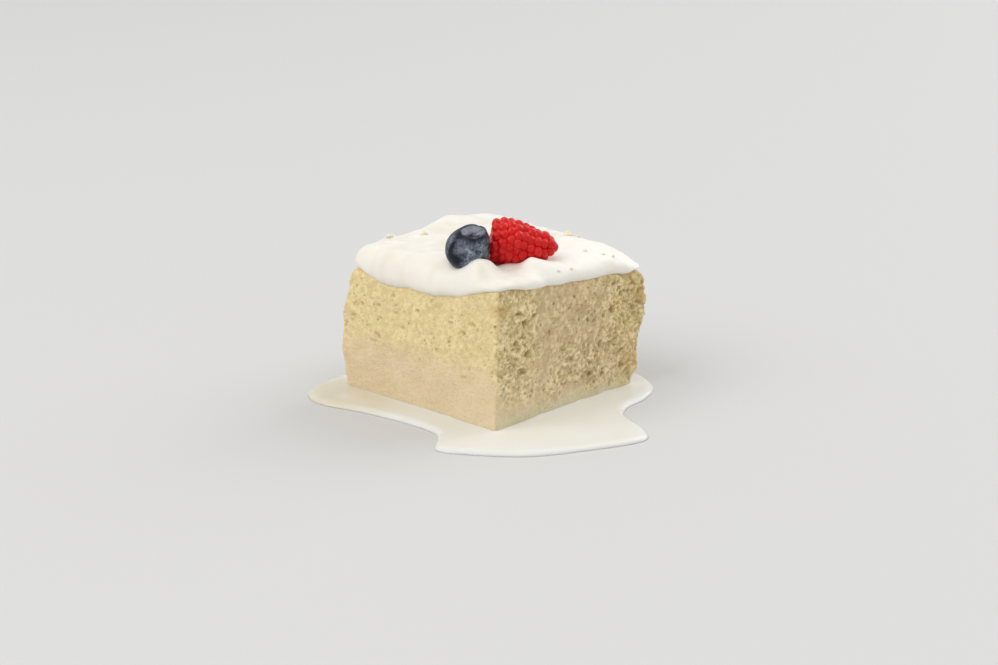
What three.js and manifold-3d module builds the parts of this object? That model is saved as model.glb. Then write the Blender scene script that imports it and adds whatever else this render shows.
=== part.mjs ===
// A square portion of milk-soaked sponge cake: the sponge, its thick coat of whipped cream, a blueberry and
// a raspberry set in the cream, and the pool of sweet milk that the sponge stands in.
// Millimetres, +Z up. The origin is the middle of the sponge's flat base, and the sides run along X and Y.
import * as THREE from "three";
import { mergeVertices } from "three/addons/utils/BufferGeometryUtils.js";
import Module from "manifold-3d";

// Clearance left between pieces that touch.
const GAP = 0.3;

// Steps and stretch of the wave whose fractions serve as scattered numbers.
const SCATTER = { steps: [127.1, 311.7, 74.7], stretch: 43758.5453 };

// The sponge's four upright edges, in turn round the block from the one at +X -Y. Each has its foot and its
// head in plan, its height, how far it bellies out half way up, and how rough the crumb is near it.
const SPONGE_CORNERS = [
  { sign: [1, -1], foot: [35.9, -36.3], head: [35.4, -35.2], height: 50.0, belly: 0.4, rough: 0.55 },
  { sign: [1, 1], foot: [35.3, 35.7], head: [37.1, 37.3], height: 43.2, belly: 1.6, rough: 1.1 },
  { sign: [-1, 1], foot: [-35.0, 35.4], head: [-34.2, 34.6], height: 45.4, belly: 0.8, rough: 0.9 },
  { sign: [-1, -1], foot: [-35.3, -35.7], head: [-33.8, -34.4], height: 44.4, belly: 1.9, rough: 0.45 },
];
const SPONGE = {
  half: 35.5, // half of the side, for turning millimetres into shares
  squareness: 60, // power of the plan's rounded square: the higher, the tighter its corners
  rim: 2.4, // radius of the rounded top edge
  dome: 1.2, // rise of the top between its edges
  crumbPitch: 7.5, // size of the crumb's broad lumps
  cragPitch: 4.1, // size of the crags on them
  cragShare: 0.7, // depth of the crags against the lumps
  cragShift: [31, 17, 5], // keeps the crags from lining up with the lumps
  footBand: 0.12, // share of the height over which the relief fades out to the clean foot
  around: 88,
  courses: 15,
  rimSteps: 2,
  topRings: [0.72, 0.4],
};

// The cream's lower edge at the corners and quarter points, in turn round the block from the +X -Y corner:
// how far it hangs below the sponge's top edge, and how far it stands out from the sponge's side.
const CREAM_EDGE = [
  { hang: 0.7, out: 2.1 },
  { hang: 1.8, out: 1.2 },
  { hang: 1.1, out: 0.8 },
  { hang: 0.6, out: 0.0 },
  { hang: 0.3, out: 2.4 },
  { hang: 0.9, out: 1.0 },
  { hang: 2.2, out: 1.2 },
  { hang: 1.6, out: 1.0 },
  { hang: 0.7, out: 1.4 },
  { hang: 2.0, out: 1.1 },
  { hang: 3.2, out: 1.5 },
  { hang: 1.8, out: 1.1 },
  { hang: 0.6, out: 1.5 },
  { hang: 4.9, out: 1.8 },
  { hang: 5.3, out: 2.0 },
  { hang: 5.1, out: 1.9 },
];
const CREAM = {
  squareness: 9, // the coat's corners are rounder than the sponge's
  cornerLevels: [53.3, 50.2, 52.9, 53.2], // height of its top near each corner, in the same turn
  dome: 1.0,
  lumpPitch: 12,
  lumpRise: 0.9,
  shoulder: 6.5, // width of the rounded shoulder
  shoulderDrop: 0.66, // share of the way down to the lower edge at which the coat is widest
  tuck: 1.5, // how far the lower edge turns in behind the sponge's side
  bury: 14, // depth of its closing cone inside the sponge
  around: 72,
  shoulderSteps: 4,
  topRings: [0.9, 0.8, 0.7, 0.58, 0.44, 0.28, 0.12],
  tuckSteps: 2,
};
// Swells of cream: six pushed up beside the berries, a broad one towards the back and a small one at the left.
// The last two sink instead of rising, under the raspberry's wide end and where the cream thins out to the
// +X +Y corner.
const CREAM_MOUNDS = [
  { at: [22.6, -32.0], rise: 4.4, spread: 4.6 },
  { at: [23.2, -26.6], rise: 2.6, spread: 3.6 },
  { at: [29.6, -13.2], rise: 3.0, spread: 2.8 },
  { at: [32.4, -9.6], rise: 2.7, spread: 4.2 },
  { at: [4.0, -27.0], rise: 1.2, spread: 4.5 },
  { at: [12.0, -8.0], rise: 1.6, spread: 6.0 },
  { at: [-27.0, 9.0], rise: 2.3, spread: 11.0 },
  { at: [-29.5, -19.5], rise: 1.4, spread: 2.6 },
  { at: [19.0, -19.0], rise: -0.7, spread: 3.5 },
  { at: [38.0, 38.0], rise: -4.5, spread: 10.0 },
];

const BLUEBERRY = {
  centre: [15.25, -28.45, 58.6],
  radius: 7.4,
  tall: 7.4, // height of its upper half, before the calyx
  deep: 6.9, // depth of its lower half
  fullness: 0.72, // power that squares the upper half: 1 is round
  lean: [1.4, 1.28], // how far its upper end lies to one side of its middle
  crownTowards: [0.207, -0.229, 0.951], // the way its calyx faces
  crownRadius: 4.4, // ring of the calyx
  crownRise: 0.7,
  crownWidth: 0.9,
  crownLobes: 5,
  lobeDepth: 0.35, // how far the ring dips between its lobes, as half a share of its rise
  hollow: 1.7, // depth of the dimple inside the ring
  ringSpread: 0.55, // 1 spaces the rings evenly, less brings them closer towards the calyx
  around: 30,
  rings: 17,
};

const RASPBERRY = {
  root: [14.27, -16.2, 59.34], // middle of the wide end
  tip: [31.4, -0.8, 57.2], // end of the last bead
  girth: 6.6, // radius through the beads' middles at the widest
  rootGirth: 5.1, // the same at the wide end
  widest: 4.6, // distance from the wide end at which it is widest
  taper: 1.1, // powers of the fall from there to the point
  tipRound: 0.5,
  recess: 3.0, // radius of the hollow in the wide end
  recessDepth: 4,
  recessFloor: 0.8, // share of the recess's width and depth where its floor turns up into its wall
  lip: 0.3, // how far the recess's mouth lies behind the first beads
  coreShare: 1.15, // radius that the creases reach down to, against the beads' own circle
  bead: 1.95, // radius of a bead
  beadVariation: 0.13,
  beadDrift: 0.2, // how far a bead strays along its row, as a share of the spacing
  beadStray: 0.3, // how far it strays out of its row
  seed: 3,
  straySeed: 11,
  pitch: 2.7, // spacing of the beads in a row
  row: 2.4, // spacing of the rows
  sideSteps: 40, // points of the curve that the rows are spaced along
  crowding: 1.3, // power that brings the rings closer towards the point
  around: 58,
  courses: 29,
};

// The pool's edge, counter-clockwise from its left end.
const MILK_EDGE = [
  [-38.6, -51.1],
  [-28.6, -54.2],
  [-11.9, -50.1],
  [7.2, -47.9],
  [20.2, -48.9],
  [25.7, -53.3],
  [31.9, -60.3],
  [41.4, -56.6],
  [57.9, -43.1],
  [69.0, -22.5],
  [74.7, -6.4],
  [69.5, 1.3],
  [55.4, 7.8],
  [49.4, 16.2],
  [47.4, 28.3],
  [41.4, 40.4],
  [27.3, 47.5],
  [13.5, 45.5],
  [1.0, 41.2],
  [-13.0, 42.4],
  [-27.0, 47.2],
  [-38.5, 43.4],
  [-41.8, 32.0],
  [-40.2, 18.0],
  [-43.6, 4.0],
  [-45.5, -12.0],
  [-45.6, -29.0],
  [-43.6, -43.1],
];
const MILK = {
  depth: 1.6,
  bank: 3.0, // width of the rounded edge
  bankSteps: 2,
  tension: 0.5, // of the curve through the edge's points
  around: 90,
};

// Colour and roughness of each piece.
const FINISHES = {
  sponge: { color: 0xdcc896, roughness: 0.85 },
  cream: { color: 0xf5f1e6, roughness: 0.5 },
  blueberry: { color: 0x50556a, roughness: 0.6 },
  raspberry: { color: 0xc43432, roughness: 0.35 },
  milk: { color: 0xf0efe6, roughness: 0.2 },
};

const wasm = await Module();
wasm.setup();

const UPWARDS = new THREE.Vector3(0, 0, 1);
const lerp = THREE.MathUtils.lerp;

// Cubic ease from 0 at the low end to 1 at the high end.
const ease = THREE.MathUtils.smoothstep;

// A repeatable number from 0 to 1 for each point of a whole-number lattice.
function scatter(i, j, k) {
  const [stepI, stepJ, stepK] = SCATTER.steps;
  const wave = Math.sin(i * stepI + j * stepJ + k * stepK) * SCATTER.stretch;
  return wave - Math.floor(wave);
}

// Smooth lumps from -1 to 1: lattice numbers a pitch apart, blended by the cubic ease.
function lumps(x, y, z, pitch) {
  const cell = [x, y, z].map((value) => Math.floor(value / pitch));
  const share = [x, y, z].map((value, axis) => ease(value / pitch - cell[axis], 0, 1));
  let sum = 0;
  for (let corner = 0; corner < 8; corner++) {
    const step = [corner & 1, (corner >> 1) & 1, (corner >> 2) & 1];
    const weight = step.reduce((product, one, axis) => product * (one ? share[axis] : 1 - share[axis]), 1);
    sum += weight * scatter(cell[0] + step[0], cell[1] + step[1], cell[2] + step[2]);
  }
  return 2 * sum - 1;
}

// The point of a rounded unit square at an angle. The walk round it is even along each side.
function squarePoint(angle, power) {
  const quarter = Math.round(angle / (Math.PI / 2)) * (Math.PI / 2);
  const turn = quarter + Math.atan((angle - quarter) / (Math.PI / 4));
  const [x, y] = [Math.cos(turn), Math.sin(turn)];
  const reach = (Math.abs(x) ** power + Math.abs(y) ** power) ** (-1 / power);
  return [x * reach, y * reach];
}

// A value carried by the four corners, blended over the square from -1 to 1.
function blend(u, v, valueOf) {
  return SPONGE_CORNERS.reduce((sum, corner, index) => {
    const weight = ((1 + u * corner.sign[0]) * (1 + v * corner.sign[1])) / 4;
    return sum + weight * valueOf(corner, index);
  }, 0);
}

// The plan position of a point of the square at a share of the block's height.
function spongePlan(u, v, up) {
  const bulge = Math.sin(Math.PI * up);
  return [0, 1].map((axis) =>
    blend(u, v, ({ foot, head, belly, sign }) =>
      lerp(foot[axis], head[axis], up) + sign[axis] * belly * bulge,
    ),
  );
}

// The height of the sponge's top over a point of the square.
function spongeHeight(u, v) {
  return blend(u, v, (corner) => corner.height) + SPONGE.dome * (1 - u * u) * (1 - v * v);
}

// A closed skin of rings, lowest first: a turned tube whose first and last rings are points, with every
// vertex then placed by its ring and its angle.
function skin(profile, around, place) {
  const last = profile.length - 1;
  const tube = profile.map((_, ring) => new THREE.Vector2(ring === 0 || ring === last ? 0 : 1, ring));
  const geometry = new THREE.LatheGeometry(tube, around);
  geometry.rotateX(Math.PI / 2);
  const position = geometry.attributes.position;
  for (let index = 0; index < position.count; index++) {
    const angle = Math.atan2(position.getY(index), position.getX(index));
    const ring = Math.round(position.getZ(index));
    position.setXYZ(index, ...place(profile[ring], angle));
  }
  return welded(geometry);
}

// The same surface with shared vertices merged and the empty triangles at its poles dropped.
function welded(geometry) {
  geometry.deleteAttribute("normal");
  geometry.deleteAttribute("uv");
  const merged = mergeVertices(geometry);
  const kept = [];
  for (let start = 0; start < merged.index.count; start += 3) {
    const [a, b, c] = [0, 1, 2].map((step) => merged.index.getX(start + step));
    if (a !== b && b !== c && c !== a) kept.push(a, b, c);
  }
  merged.setIndex(kept);
  return merged;
}

// The surface moved outwards by the clearance, for cutting a neighbour.
function grown(geometry) {
  const larger = geometry.clone();
  larger.computeVertexNormals();
  const { position, normal } = larger.attributes;
  const point = new THREE.Vector3();
  const outward = new THREE.Vector3();
  for (let index = 0; index < position.count; index++) {
    point.fromBufferAttribute(position, index);
    outward.fromBufferAttribute(normal, index);
    point.addScaledVector(outward, GAP);
    position.setXYZ(index, point.x, point.y, point.z);
  }
  return larger;
}

function solidOf(geometry) {
  const vertProperties = new Float32Array(geometry.attributes.position.array);
  const triVerts = new Uint32Array(geometry.index.array);
  return new wasm.Manifold(new wasm.Mesh({ numProp: 3, vertProperties, triVerts }));
}

function geometryOf(solid) {
  const mesh = solid.getMesh();
  const geometry = new THREE.BufferGeometry();
  geometry.setAttribute("position", new THREE.BufferAttribute(mesh.vertProperties, 3));
  geometry.setIndex(new THREE.BufferAttribute(mesh.triVerts, 1));
  return geometry;
}

// Profile of the sponge as shares out and up: base, sides, rounded rim, top.
function spongeProfile() {
  const profile = [{ out: 0, up: 0 }];
  const meanHeight = blend(0, 0, (corner) => corner.height);
  const rimUp = SPONGE.rim / meanHeight;
  const rimOut = SPONGE.rim / SPONGE.half;
  for (let course = 0; course <= SPONGE.courses; course++) {
    profile.push({ out: 1, up: (course / SPONGE.courses) * (1 - rimUp) });
  }
  for (let step = 1; step <= SPONGE.rimSteps; step++) {
    const bend = (step / SPONGE.rimSteps) * (Math.PI / 2);
    profile.push({ out: 1 - rimOut * (1 - Math.cos(bend)), up: 1 - rimUp * (1 - Math.sin(bend)) });
  }
  for (const out of SPONGE.topRings) {
    profile.push({ out, up: 1 });
  }
  profile.push({ out: 0, up: 1 });
  return profile;
}

// Relief of the torn crumb at a point: broad lumps with crags on them.
function crumb(x, y, z) {
  const [shiftX, shiftY, shiftZ] = SPONGE.cragShift;
  const crags = lumps(x + shiftX, y + shiftY, z + shiftZ, SPONGE.cragPitch);
  return lumps(x, y, z, SPONGE.crumbPitch) + SPONGE.cragShare * crags;
}

// The block between its four corners, pushed out and in by the crumb's relief.
function spongePoint({ out, up }, angle) {
  const [edgeU, edgeV] = squarePoint(angle, SPONGE.squareness);
  const [u, v] = [edgeU * out, edgeV * out];
  const [x, y] = spongePlan(u, v, up);
  const z = up * spongeHeight(u, v);
  const depth = blend(u, v, (corner) => corner.rough) * ease(up, 0, SPONGE.footBand) * ease(out, 0, 1);
  const push = depth * crumb(x, y, z);
  const length = Math.hypot(u, v) || 1;
  return [x + (push * u) / length, y + (push * v) / length, z];
}

// One of the cream's edge values at an angle, on a closed smooth curve through the quarter points.
function creamEdge(angle, key) {
  const count = CREAM_EDGE.length;
  const place = ((angle + Math.PI / 4) / (2 * Math.PI)) * count;
  const start = Math.floor(place);
  const share = place - start;
  const [a, b, c, d] = [-1, 0, 1, 2].map((step) => CREAM_EDGE[(start + step + 2 * count) % count][key]);
  const slope = (c - a) / 2;
  const nextSlope = (d - b) / 2;
  const square = share * share;
  const cube = square * share;
  return (
    (2 * cube - 3 * square + 1) * b +
    (cube - 2 * square + share) * slope +
    (3 * square - 2 * cube) * c +
    (cube - square) * nextSlope
  );
}

// The height of the cream's top: levels at the corners, a slight dome, soft lumps and the swells.
function creamLevel(u, v, x, y) {
  const level = blend(u, v, (_, index) => CREAM.cornerLevels[index]);
  const dome = CREAM.dome * (1 - u * u) * (1 - v * v);
  const soft = CREAM.lumpRise * lumps(x, y, 0, CREAM.lumpPitch);
  const swell = CREAM_MOUNDS.reduce((sum, { at, rise, spread }) => {
    const distance = Math.hypot(x - at[0], y - at[1]) / spread;
    return sum + rise * Math.exp(-distance * distance);
  }, 0);
  return level + dome + soft + swell;
}

// Profile of the cream: from the pole inside the sponge to the lower edge, out round the lip, over the
// shoulder and across the top. Insets are shares of the shoulder and of the tuck, drops shares of the fall.
function creamProfile() {
  const profile = [{ pole: true }];
  for (let step = 0; step < CREAM.tuckSteps; step++) {
    const bend = (1 - step / CREAM.tuckSteps) * (Math.PI / 2);
    const drop = lerp(CREAM.shoulderDrop, 1, Math.sin(bend));
    profile.push({ reach: 1, tuck: 1 - Math.cos(bend), shoulder: 0, drop });
  }
  for (let step = 0; step <= CREAM.shoulderSteps; step++) {
    const bend = (1 - step / CREAM.shoulderSteps) * (Math.PI / 2);
    const drop = CREAM.shoulderDrop * (1 - Math.cos(bend));
    profile.push({ reach: 1, tuck: 0, shoulder: 1 - Math.sin(bend), drop });
  }
  for (const reach of CREAM.topRings) {
    profile.push({ reach, tuck: 0, shoulder: 1, drop: 0 });
  }
  profile.push({ reach: 0, tuck: 0, shoulder: 1, drop: 0 });
  return profile;
}

function creamPoint({ pole, reach, tuck, shoulder, drop }, angle) {
  if (pole) return [0, 0, spongeHeight(0, 0) - CREAM.bury];
  const [edgeU, edgeV] = squarePoint(angle, CREAM.squareness);
  const out = creamEdge(angle, "out");
  const inset = shoulder * CREAM.shoulder + tuck * (CREAM.tuck + Math.max(out, 0));
  const scale = reach * (1 + (out - inset) / SPONGE.half);
  const [u, v] = [edgeU * scale, edgeV * scale];
  const [x, y] = spongePlan(u, v, 1);
  const lowest = spongeHeight(edgeU, edgeV) - creamEdge(angle, "hang");
  const level = creamLevel(u, v, x, y);
  return [x, y, lerp(level, lowest, drop)];
}

// A ball whose upper half is squarer than a true one's and leans aside by the square of its height, with a ring
// of lobes round a dimple at its upper pole.
function blueberryPoint({ polar }, angle) {
  const { radius, tall, deep, fullness, lean } = BLUEBERRY;
  const { crownRadius, crownRise, crownWidth, crownLobes, lobeDepth, hollow } = BLUEBERRY;
  const upper = polar < Math.PI / 2;
  const out = radius * Math.sin(polar) ** (upper ? fullness : 1);
  if (!upper) return [out * Math.cos(angle), out * Math.sin(angle), deep * Math.cos(polar)];
  const dome = tall * Math.cos(polar) ** fullness;
  const ring = (out - crownRadius) / crownWidth;
  const lobes = 1 - lobeDepth + lobeDepth * Math.cos(crownLobes * angle);
  const crown = crownRise * lobes * Math.exp(-ring * ring);
  const dimple = hollow * (1 - ease(out, 0, crownRadius));
  const height = dome + crown - dimple;
  const aside = (height / tall) ** 2;
  return [out * Math.cos(angle) + aside * lean[0], out * Math.sin(angle) + aside * lean[1], height];
}

// Rings close together near the crown and wider apart below it.
function blueberryProfile() {
  const profile = [];
  for (let ring = 0; ring <= BLUEBERRY.rings; ring++) {
    const share = 1 - ring / BLUEBERRY.rings;
    profile.push({ polar: Math.PI * lerp(share * share, share, BLUEBERRY.ringSpread) });
  }
  return profile;
}

function blueberryGeometry() {
  const geometry = skin(blueberryProfile(), BLUEBERRY.around, blueberryPoint);
  const crownTowards = new THREE.Vector3(...BLUEBERRY.crownTowards).normalize();
  const turn = new THREE.Quaternion().setFromUnitVectors(UPWARDS, crownTowards);
  return geometry.applyQuaternion(turn).translate(...BLUEBERRY.centre);
}

// Radius of the raspberry through its beads' middles at a distance from the wide end. It closes at the last
// bead's middle.
function raspberryGirth(along, length) {
  const { girth, rootGirth, widest, taper, tipRound, bead } = RASPBERRY;
  if (along < widest) return lerp(rootGirth, girth, Math.sin((along / widest) * (Math.PI / 2)));
  const fallen = Math.min(1, (along - widest) / (length - bead - widest));
  return girth * (1 - fallen ** taper) ** tipRound;
}

// The curve of the beads' middles from the first row to the point: distance along, then distance out.
function raspberrySide(length) {
  const { bead, sideSteps } = RASPBERRY;
  const points = [];
  for (let step = 0; step <= sideSteps; step++) {
    const along = lerp(bead, length - bead, Math.sin((step / sideSteps) * (Math.PI / 2)));
    points.push(new THREE.Vector2(along, raspberryGirth(along, length)));
  }
  return new THREE.SplineCurve(points);
}

// Beads in rows evenly spaced over the side, each row half a bead on from the last, and one at the point.
function raspberryBeads(length) {
  const { bead, beadVariation, beadDrift, beadStray, seed, straySeed, pitch, row } = RASPBERRY;
  const beads = [];
  const side = raspberrySide(length);
  const rows = Math.round(side.getLength() / row);
  for (const [index, { x: along, y: out }] of side.getSpacedPoints(rows).entries()) {
    const count = Math.max(1, Math.round((2 * Math.PI * out) / pitch));
    for (let place = 0; place < count; place++) {
      const chance = 2 * scatter(index, place, seed) - 1;
      const stray = beadStray * (2 * scatter(index, place, straySeed) - 1);
      const angle = (2 * Math.PI * (place + (index % 2) / 2 + beadDrift * chance)) / count;
      beads.push({ along: along + stray, out, angle, size: bead * (1 + beadVariation * chance) });
    }
  }
  return beads;
}

// How far the beads reach from the axis at a place along it and an angle: the farthest point of any ball
// that the ray from the axis crosses.
function beadReach(beads, along, angle) {
  let reach = 0;
  for (const bead of beads) {
    const middle = bead.out * Math.cos(angle - bead.angle);
    const aside = bead.out * Math.sin(angle - bead.angle);
    const left = bead.size ** 2 - aside ** 2 - (bead.along - along) ** 2;
    if (left > 0) reach = Math.max(reach, middle + Math.sqrt(left));
  }
  return reach;
}

// From the bottom of the recess, round the wide end and along the beaded side to the point.
function raspberryProfile(length) {
  const { recess, recessDepth, recessFloor, lip, courses, crowding } = RASPBERRY;
  const profile = [
    { out: 0, along: recessDepth },
    { out: recess * recessFloor, along: recessDepth * recessFloor },
    { out: recess, along: lip },
  ];
  for (let course = 0; course < courses; course++) {
    const share = 1 - (1 - course / courses) ** crowding;
    profile.push({ along: share * length, share });
  }
  profile.push({ out: 0, along: length });
  return profile;
}

function raspberryGeometry() {
  const root = new THREE.Vector3(...RASPBERRY.root);
  const axis = new THREE.Vector3(...RASPBERRY.tip).sub(root);
  const length = axis.length();
  const beads = raspberryBeads(length);
  const radiusAt = (share, angle) => {
    const core = RASPBERRY.coreShare * raspberryGirth(share * length, length);
    return Math.max(core, beadReach(beads, share * length, angle));
  };
  const geometry = skin(raspberryProfile(length), RASPBERRY.around, ({ out, along, share }, angle) => {
    const radius = share === undefined ? out : radiusAt(share, angle);
    return [radius * Math.cos(angle), radius * Math.sin(angle), along];
  });
  const turn = new THREE.Quaternion().setFromUnitVectors(UPWARDS, axis.normalize());
  return geometry.applyQuaternion(turn).translate(...RASPBERRY.root);
}

// Profile of the pool: flat underside, rounded bank, flat top.
function milkProfile() {
  const profile = [{ reach: 0, inset: 0, up: 0 }];
  for (let step = 0; step <= MILK.bankSteps; step++) {
    const bend = (step / MILK.bankSteps) * (Math.PI / 2);
    profile.push({ reach: 1, inset: 1 - Math.cos(bend), up: Math.sin(bend) });
  }
  profile.push({ reach: 0, inset: 0, up: 1 });
  return profile;
}

function milkGeometry() {
  const edge = MILK_EDGE.map(([x, y]) => new THREE.Vector3(x, y, 0));
  const curve = new THREE.CatmullRomCurve3(edge, true, "catmullrom", MILK.tension);
  return skin(milkProfile(), MILK.around, ({ reach, inset, up }, angle) => {
    const point = curve.getPoint((angle / (2 * Math.PI) + 1) % 1);
    const scale = reach * (1 - (inset * MILK.bank) / point.length());
    return [point.x * scale, point.y * scale, up * MILK.depth];
  });
}

const group = new THREE.Group();

function addPiece(name, geometry) {
  geometry.computeVertexNormals();
  const mesh = new THREE.Mesh(geometry, new THREE.MeshStandardMaterial({ ...FINISHES[name], metalness: 0 }));
  mesh.name = name;
  group.add(mesh);
}

const sponge = skin(spongeProfile(), SPONGE.around, spongePoint);
const blueberry = blueberryGeometry();
const raspberry = raspberryGeometry();
const spongeRoom = solidOf(grown(sponge));
const coat = solidOf(skin(creamProfile(), CREAM.around, creamPoint));
const cream = coat
  .subtract(spongeRoom)
  .subtract(solidOf(grown(blueberry)))
  .subtract(solidOf(grown(raspberry)));
const milk = solidOf(milkGeometry()).subtract(spongeRoom);

addPiece("sponge", sponge);
addPiece("cream", geometryOf(cream));
addPiece("blueberry", blueberry);
addPiece("raspberry", raspberry);
addPiece("milk", geometryOf(milk));

export default group;
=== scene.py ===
"""A square portion of milk cake: soaked sponge, whipped cream, a blueberry, a raspberry, crumbs and milk.

The surfaces are functions of two parameters, worked out on whole numpy grids in metres. +Z is up, the
origin is the middle of the sponge's flat base, and the sponge's sides run along X and Y.
"""

import bpy
import numpy as np
from mathutils import Matrix, Vector


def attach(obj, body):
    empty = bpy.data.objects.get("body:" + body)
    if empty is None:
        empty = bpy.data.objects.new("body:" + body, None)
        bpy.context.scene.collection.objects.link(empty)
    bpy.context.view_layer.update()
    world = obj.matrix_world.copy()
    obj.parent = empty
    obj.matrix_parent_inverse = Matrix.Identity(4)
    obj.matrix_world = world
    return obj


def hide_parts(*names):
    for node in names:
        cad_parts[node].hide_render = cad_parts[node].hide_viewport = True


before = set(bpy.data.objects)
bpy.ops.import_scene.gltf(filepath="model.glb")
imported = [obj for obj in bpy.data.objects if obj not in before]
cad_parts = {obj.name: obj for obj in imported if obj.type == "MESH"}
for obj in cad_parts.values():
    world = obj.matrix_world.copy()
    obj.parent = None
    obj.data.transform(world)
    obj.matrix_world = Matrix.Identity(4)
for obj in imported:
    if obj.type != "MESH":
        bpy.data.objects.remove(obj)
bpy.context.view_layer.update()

bl_info = {
    "name": "Milk cake",
    "version": (1, 0, 0),
    "blender": (4, 5, 0),
    "location": "3D View > Sidebar > Milk cake",
    "description": "Builds a portion of milk cake with cream, berries, crumbs and a pool of milk",
    "category": "Add Mesh",
}

MM = 0.001
TURN = 2 * np.pi
BODY = "root"

# Turns the fine noise out of line with the cake's sides.
TILT = np.array(Matrix.Rotation(0.9, 3, Vector((1.0, 2.0, 3.0))))

# The sponge's upright edges, in turn from the one at +X -Y: foot and head in plan, height, how far each
# bellies out half way up, and how rough, open, torn and baked the crumb is near it.
CORNER_SIGNS = np.array([(1, -1), (1, 1), (-1, 1), (-1, -1)], float)
CORNER_FEET = np.array([(35.9, -36.3), (35.3, 35.7), (-35.0, 35.4), (-35.3, -35.7)]) * MM
CORNER_HEADS = np.array([(35.4, -35.2), (37.1, 37.3), (-34.2, 34.6), (-33.8, -34.4)]) * MM
CORNER_HEIGHTS = np.array([50.0, 43.2, 45.4, 44.4]) * MM
CORNER_BELLIES = np.array([0.4, 1.6, 0.8, 1.9]) * MM
CORNER_ROUGHNESS = np.array([0.55, 1.1, 0.9, 0.45]) * MM
CORNER_OPENNESS = np.array([0.0, 0.3, 0.1, 0.0])
CORNER_TATTER = np.array([0.25, 1.0, 0.6, 0.25])
CORNER_BAKING = np.array([0.0, 1.0, 0.5, 0.0])

# The sponge's sides, in turn -Y, +X, +Y and -X: the way each faces, how high the milk has risen half way
# along, how much lower at the +Y end, and the height over which that fades out. Then how open the crumb is,
# how much of that the middle of the side lacks, and how close, damp and wet the crumb looks. On the +X side,
# away from the key light, the darker close crumb is partly painted shade.
SIDE_FACING = np.array([(0, -1), (1, 0), (0, 1), (-1, 0)])
SIDE_SOAK = np.array([20.0, 6.5, 13.0, 15.0]) * MM
SIDE_SOAK_FALL = np.array([0.0, 3.2, 0.0, 0.0]) * MM
SIDE_SOAK_BAND = np.array([14.0, 7.0, 8.0, 9.0]) * MM
SIDE_OPENNESS = np.array([0.36, 1.05, 0.95, 0.8])
SIDE_UNEVENNESS = np.array([0.0, 0.5, 0.4, 0.4])
SIDE_CLOSENESS = np.array([0.0, 0.9, 0.5, 0.5])
SIDE_DAMPNESS = np.array([0.0, 0.7, 0.5, 0.5])
SIDE_WETNESS = np.array([0.2, 0.8, 0.4, 0.4])

# The cream's lower edge at the corners and quarter points, in turn from the +X -Y corner: how far it hangs
# below the sponge's top edge, and how far it stands out from the sponge's side. Then its top's level at the
# corners.
CREAM_HANG = np.array([0.7, 1.8, 1.1, 0.6, 0.3, 0.9, 2.2, 1.6, 0.7, 2.0, 3.2, 1.8, 0.6, 4.9, 5.3, 5.1]) * MM
CREAM_OUT = np.array([2.1, 1.2, 0.8, 0.0, 2.4, 1.0, 1.2, 1.0, 1.4, 1.1, 1.5, 1.1, 1.5, 1.8, 2.0, 1.9]) * MM
CREAM_LEVELS = np.array([53.3, 50.2, 52.9, 53.2]) * MM

# Swells of cream: six beside the berries, a broad one towards the back and a small one at the left. The
# last two sink, under the raspberry's wide end and where the cream thins out to the +X +Y corner. Each has
# its place in plan, rise and spread.
CREAM_SWELLS = np.array([
    (22.6, -32.0, 4.4, 4.6),
    (23.2, -26.6, 2.6, 3.6),
    (29.6, -13.2, 3.0, 2.8),
    (32.4, -9.6, 2.7, 4.2),
    (4.0, -27.0, 1.2, 4.5),
    (12.0, -8.0, 1.6, 6.0),
    (-27.0, 9.0, 2.3, 11.0),
    (-29.5, -19.5, 1.4, 2.6),
    (19.0, -19.0, -0.7, 3.5),
    (38.0, 38.0, -4.5, 10.0),
]) * MM

# Loose crumbs on the cream: place in plan in millimetres, and size as a share from smallest to largest.
CREAM_CRUMBS = np.array([
    (28.6, 16.6, 0.25), (36.0, 0.8, 0.12), (35.6, -5.4, 0.15), (9.6, 29.7, 1.0), (12.5, 31.0, 0.35),
    (-23.9, -8.7, 0.75), (-29.1, -20.8, 0.45), (33.0, 21.2, 0.12), (34.6, 24.4, 0.2), (-8.0, 22.0, 0.2),
    (-14.5, 28.5, 0.4),
])

# The plainest pores of the -Y and +X sides: place along the side, height, half width and half height.
FRONT_PORES = np.array([
    (-18.6, 23.4, 1.7, 1.1), (-20.5, 21.5, 2.4, 0.8), (24.5, 36.0, 2.2, 0.9), (20.5, 32.6, 2.2, 0.8),
    (-11.3, 32.9, 1.9, 0.6), (-30.3, 28.5, 1.5, 0.6), (-19.0, 33.8, 1.1, 0.8), (-12.9, 38.5, 1.1, 0.8),
    (-7.5, 28.6, 1.5, 0.6), (8.9, 24.3, 0.9, 0.9), (21.1, 16.8, 1.8, 0.7), (15.5, 35.0, 1.4, 0.6),
]) * MM
RIGHT_PORES = np.array([
    (-20.9, 25.2, 2.0, 1.3), (-24.9, 39.8, 1.5, 0.8), (-17.0, 37.6, 1.3, 0.8), (-26.8, 29.9, 1.3, 0.8),
    (22.4, 31.9, 1.4, 1.2), (17.4, 30.9, 0.9, 1.1), (11.2, 11.4, 0.9, 0.9), (15.4, 20.9, 0.9, 1.1),
    (-23.2, 19.0, 1.8, 0.6),
]) * MM

# A browned patch of the +X side: place along the side, height, half width and half height.
BROWNED = np.array([(-33.0, 42.7, 4.0, 3.4)]) * MM

# The blueberry's middle, how far its upper half leans aside, the way its calyx faces, and the calyx's shaded
# side.
BLUEBERRY_CENTRE = np.array([15.25, -28.45, 58.6]) * MM
BLUEBERRY_LEAN = np.array([1.4, 1.28]) * MM
BLUEBERRY_CROWN = Vector((0.207, -0.229, 0.951)).normalized()
BLUEBERRY_SHADED = np.array([0.66, -0.75])
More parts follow.
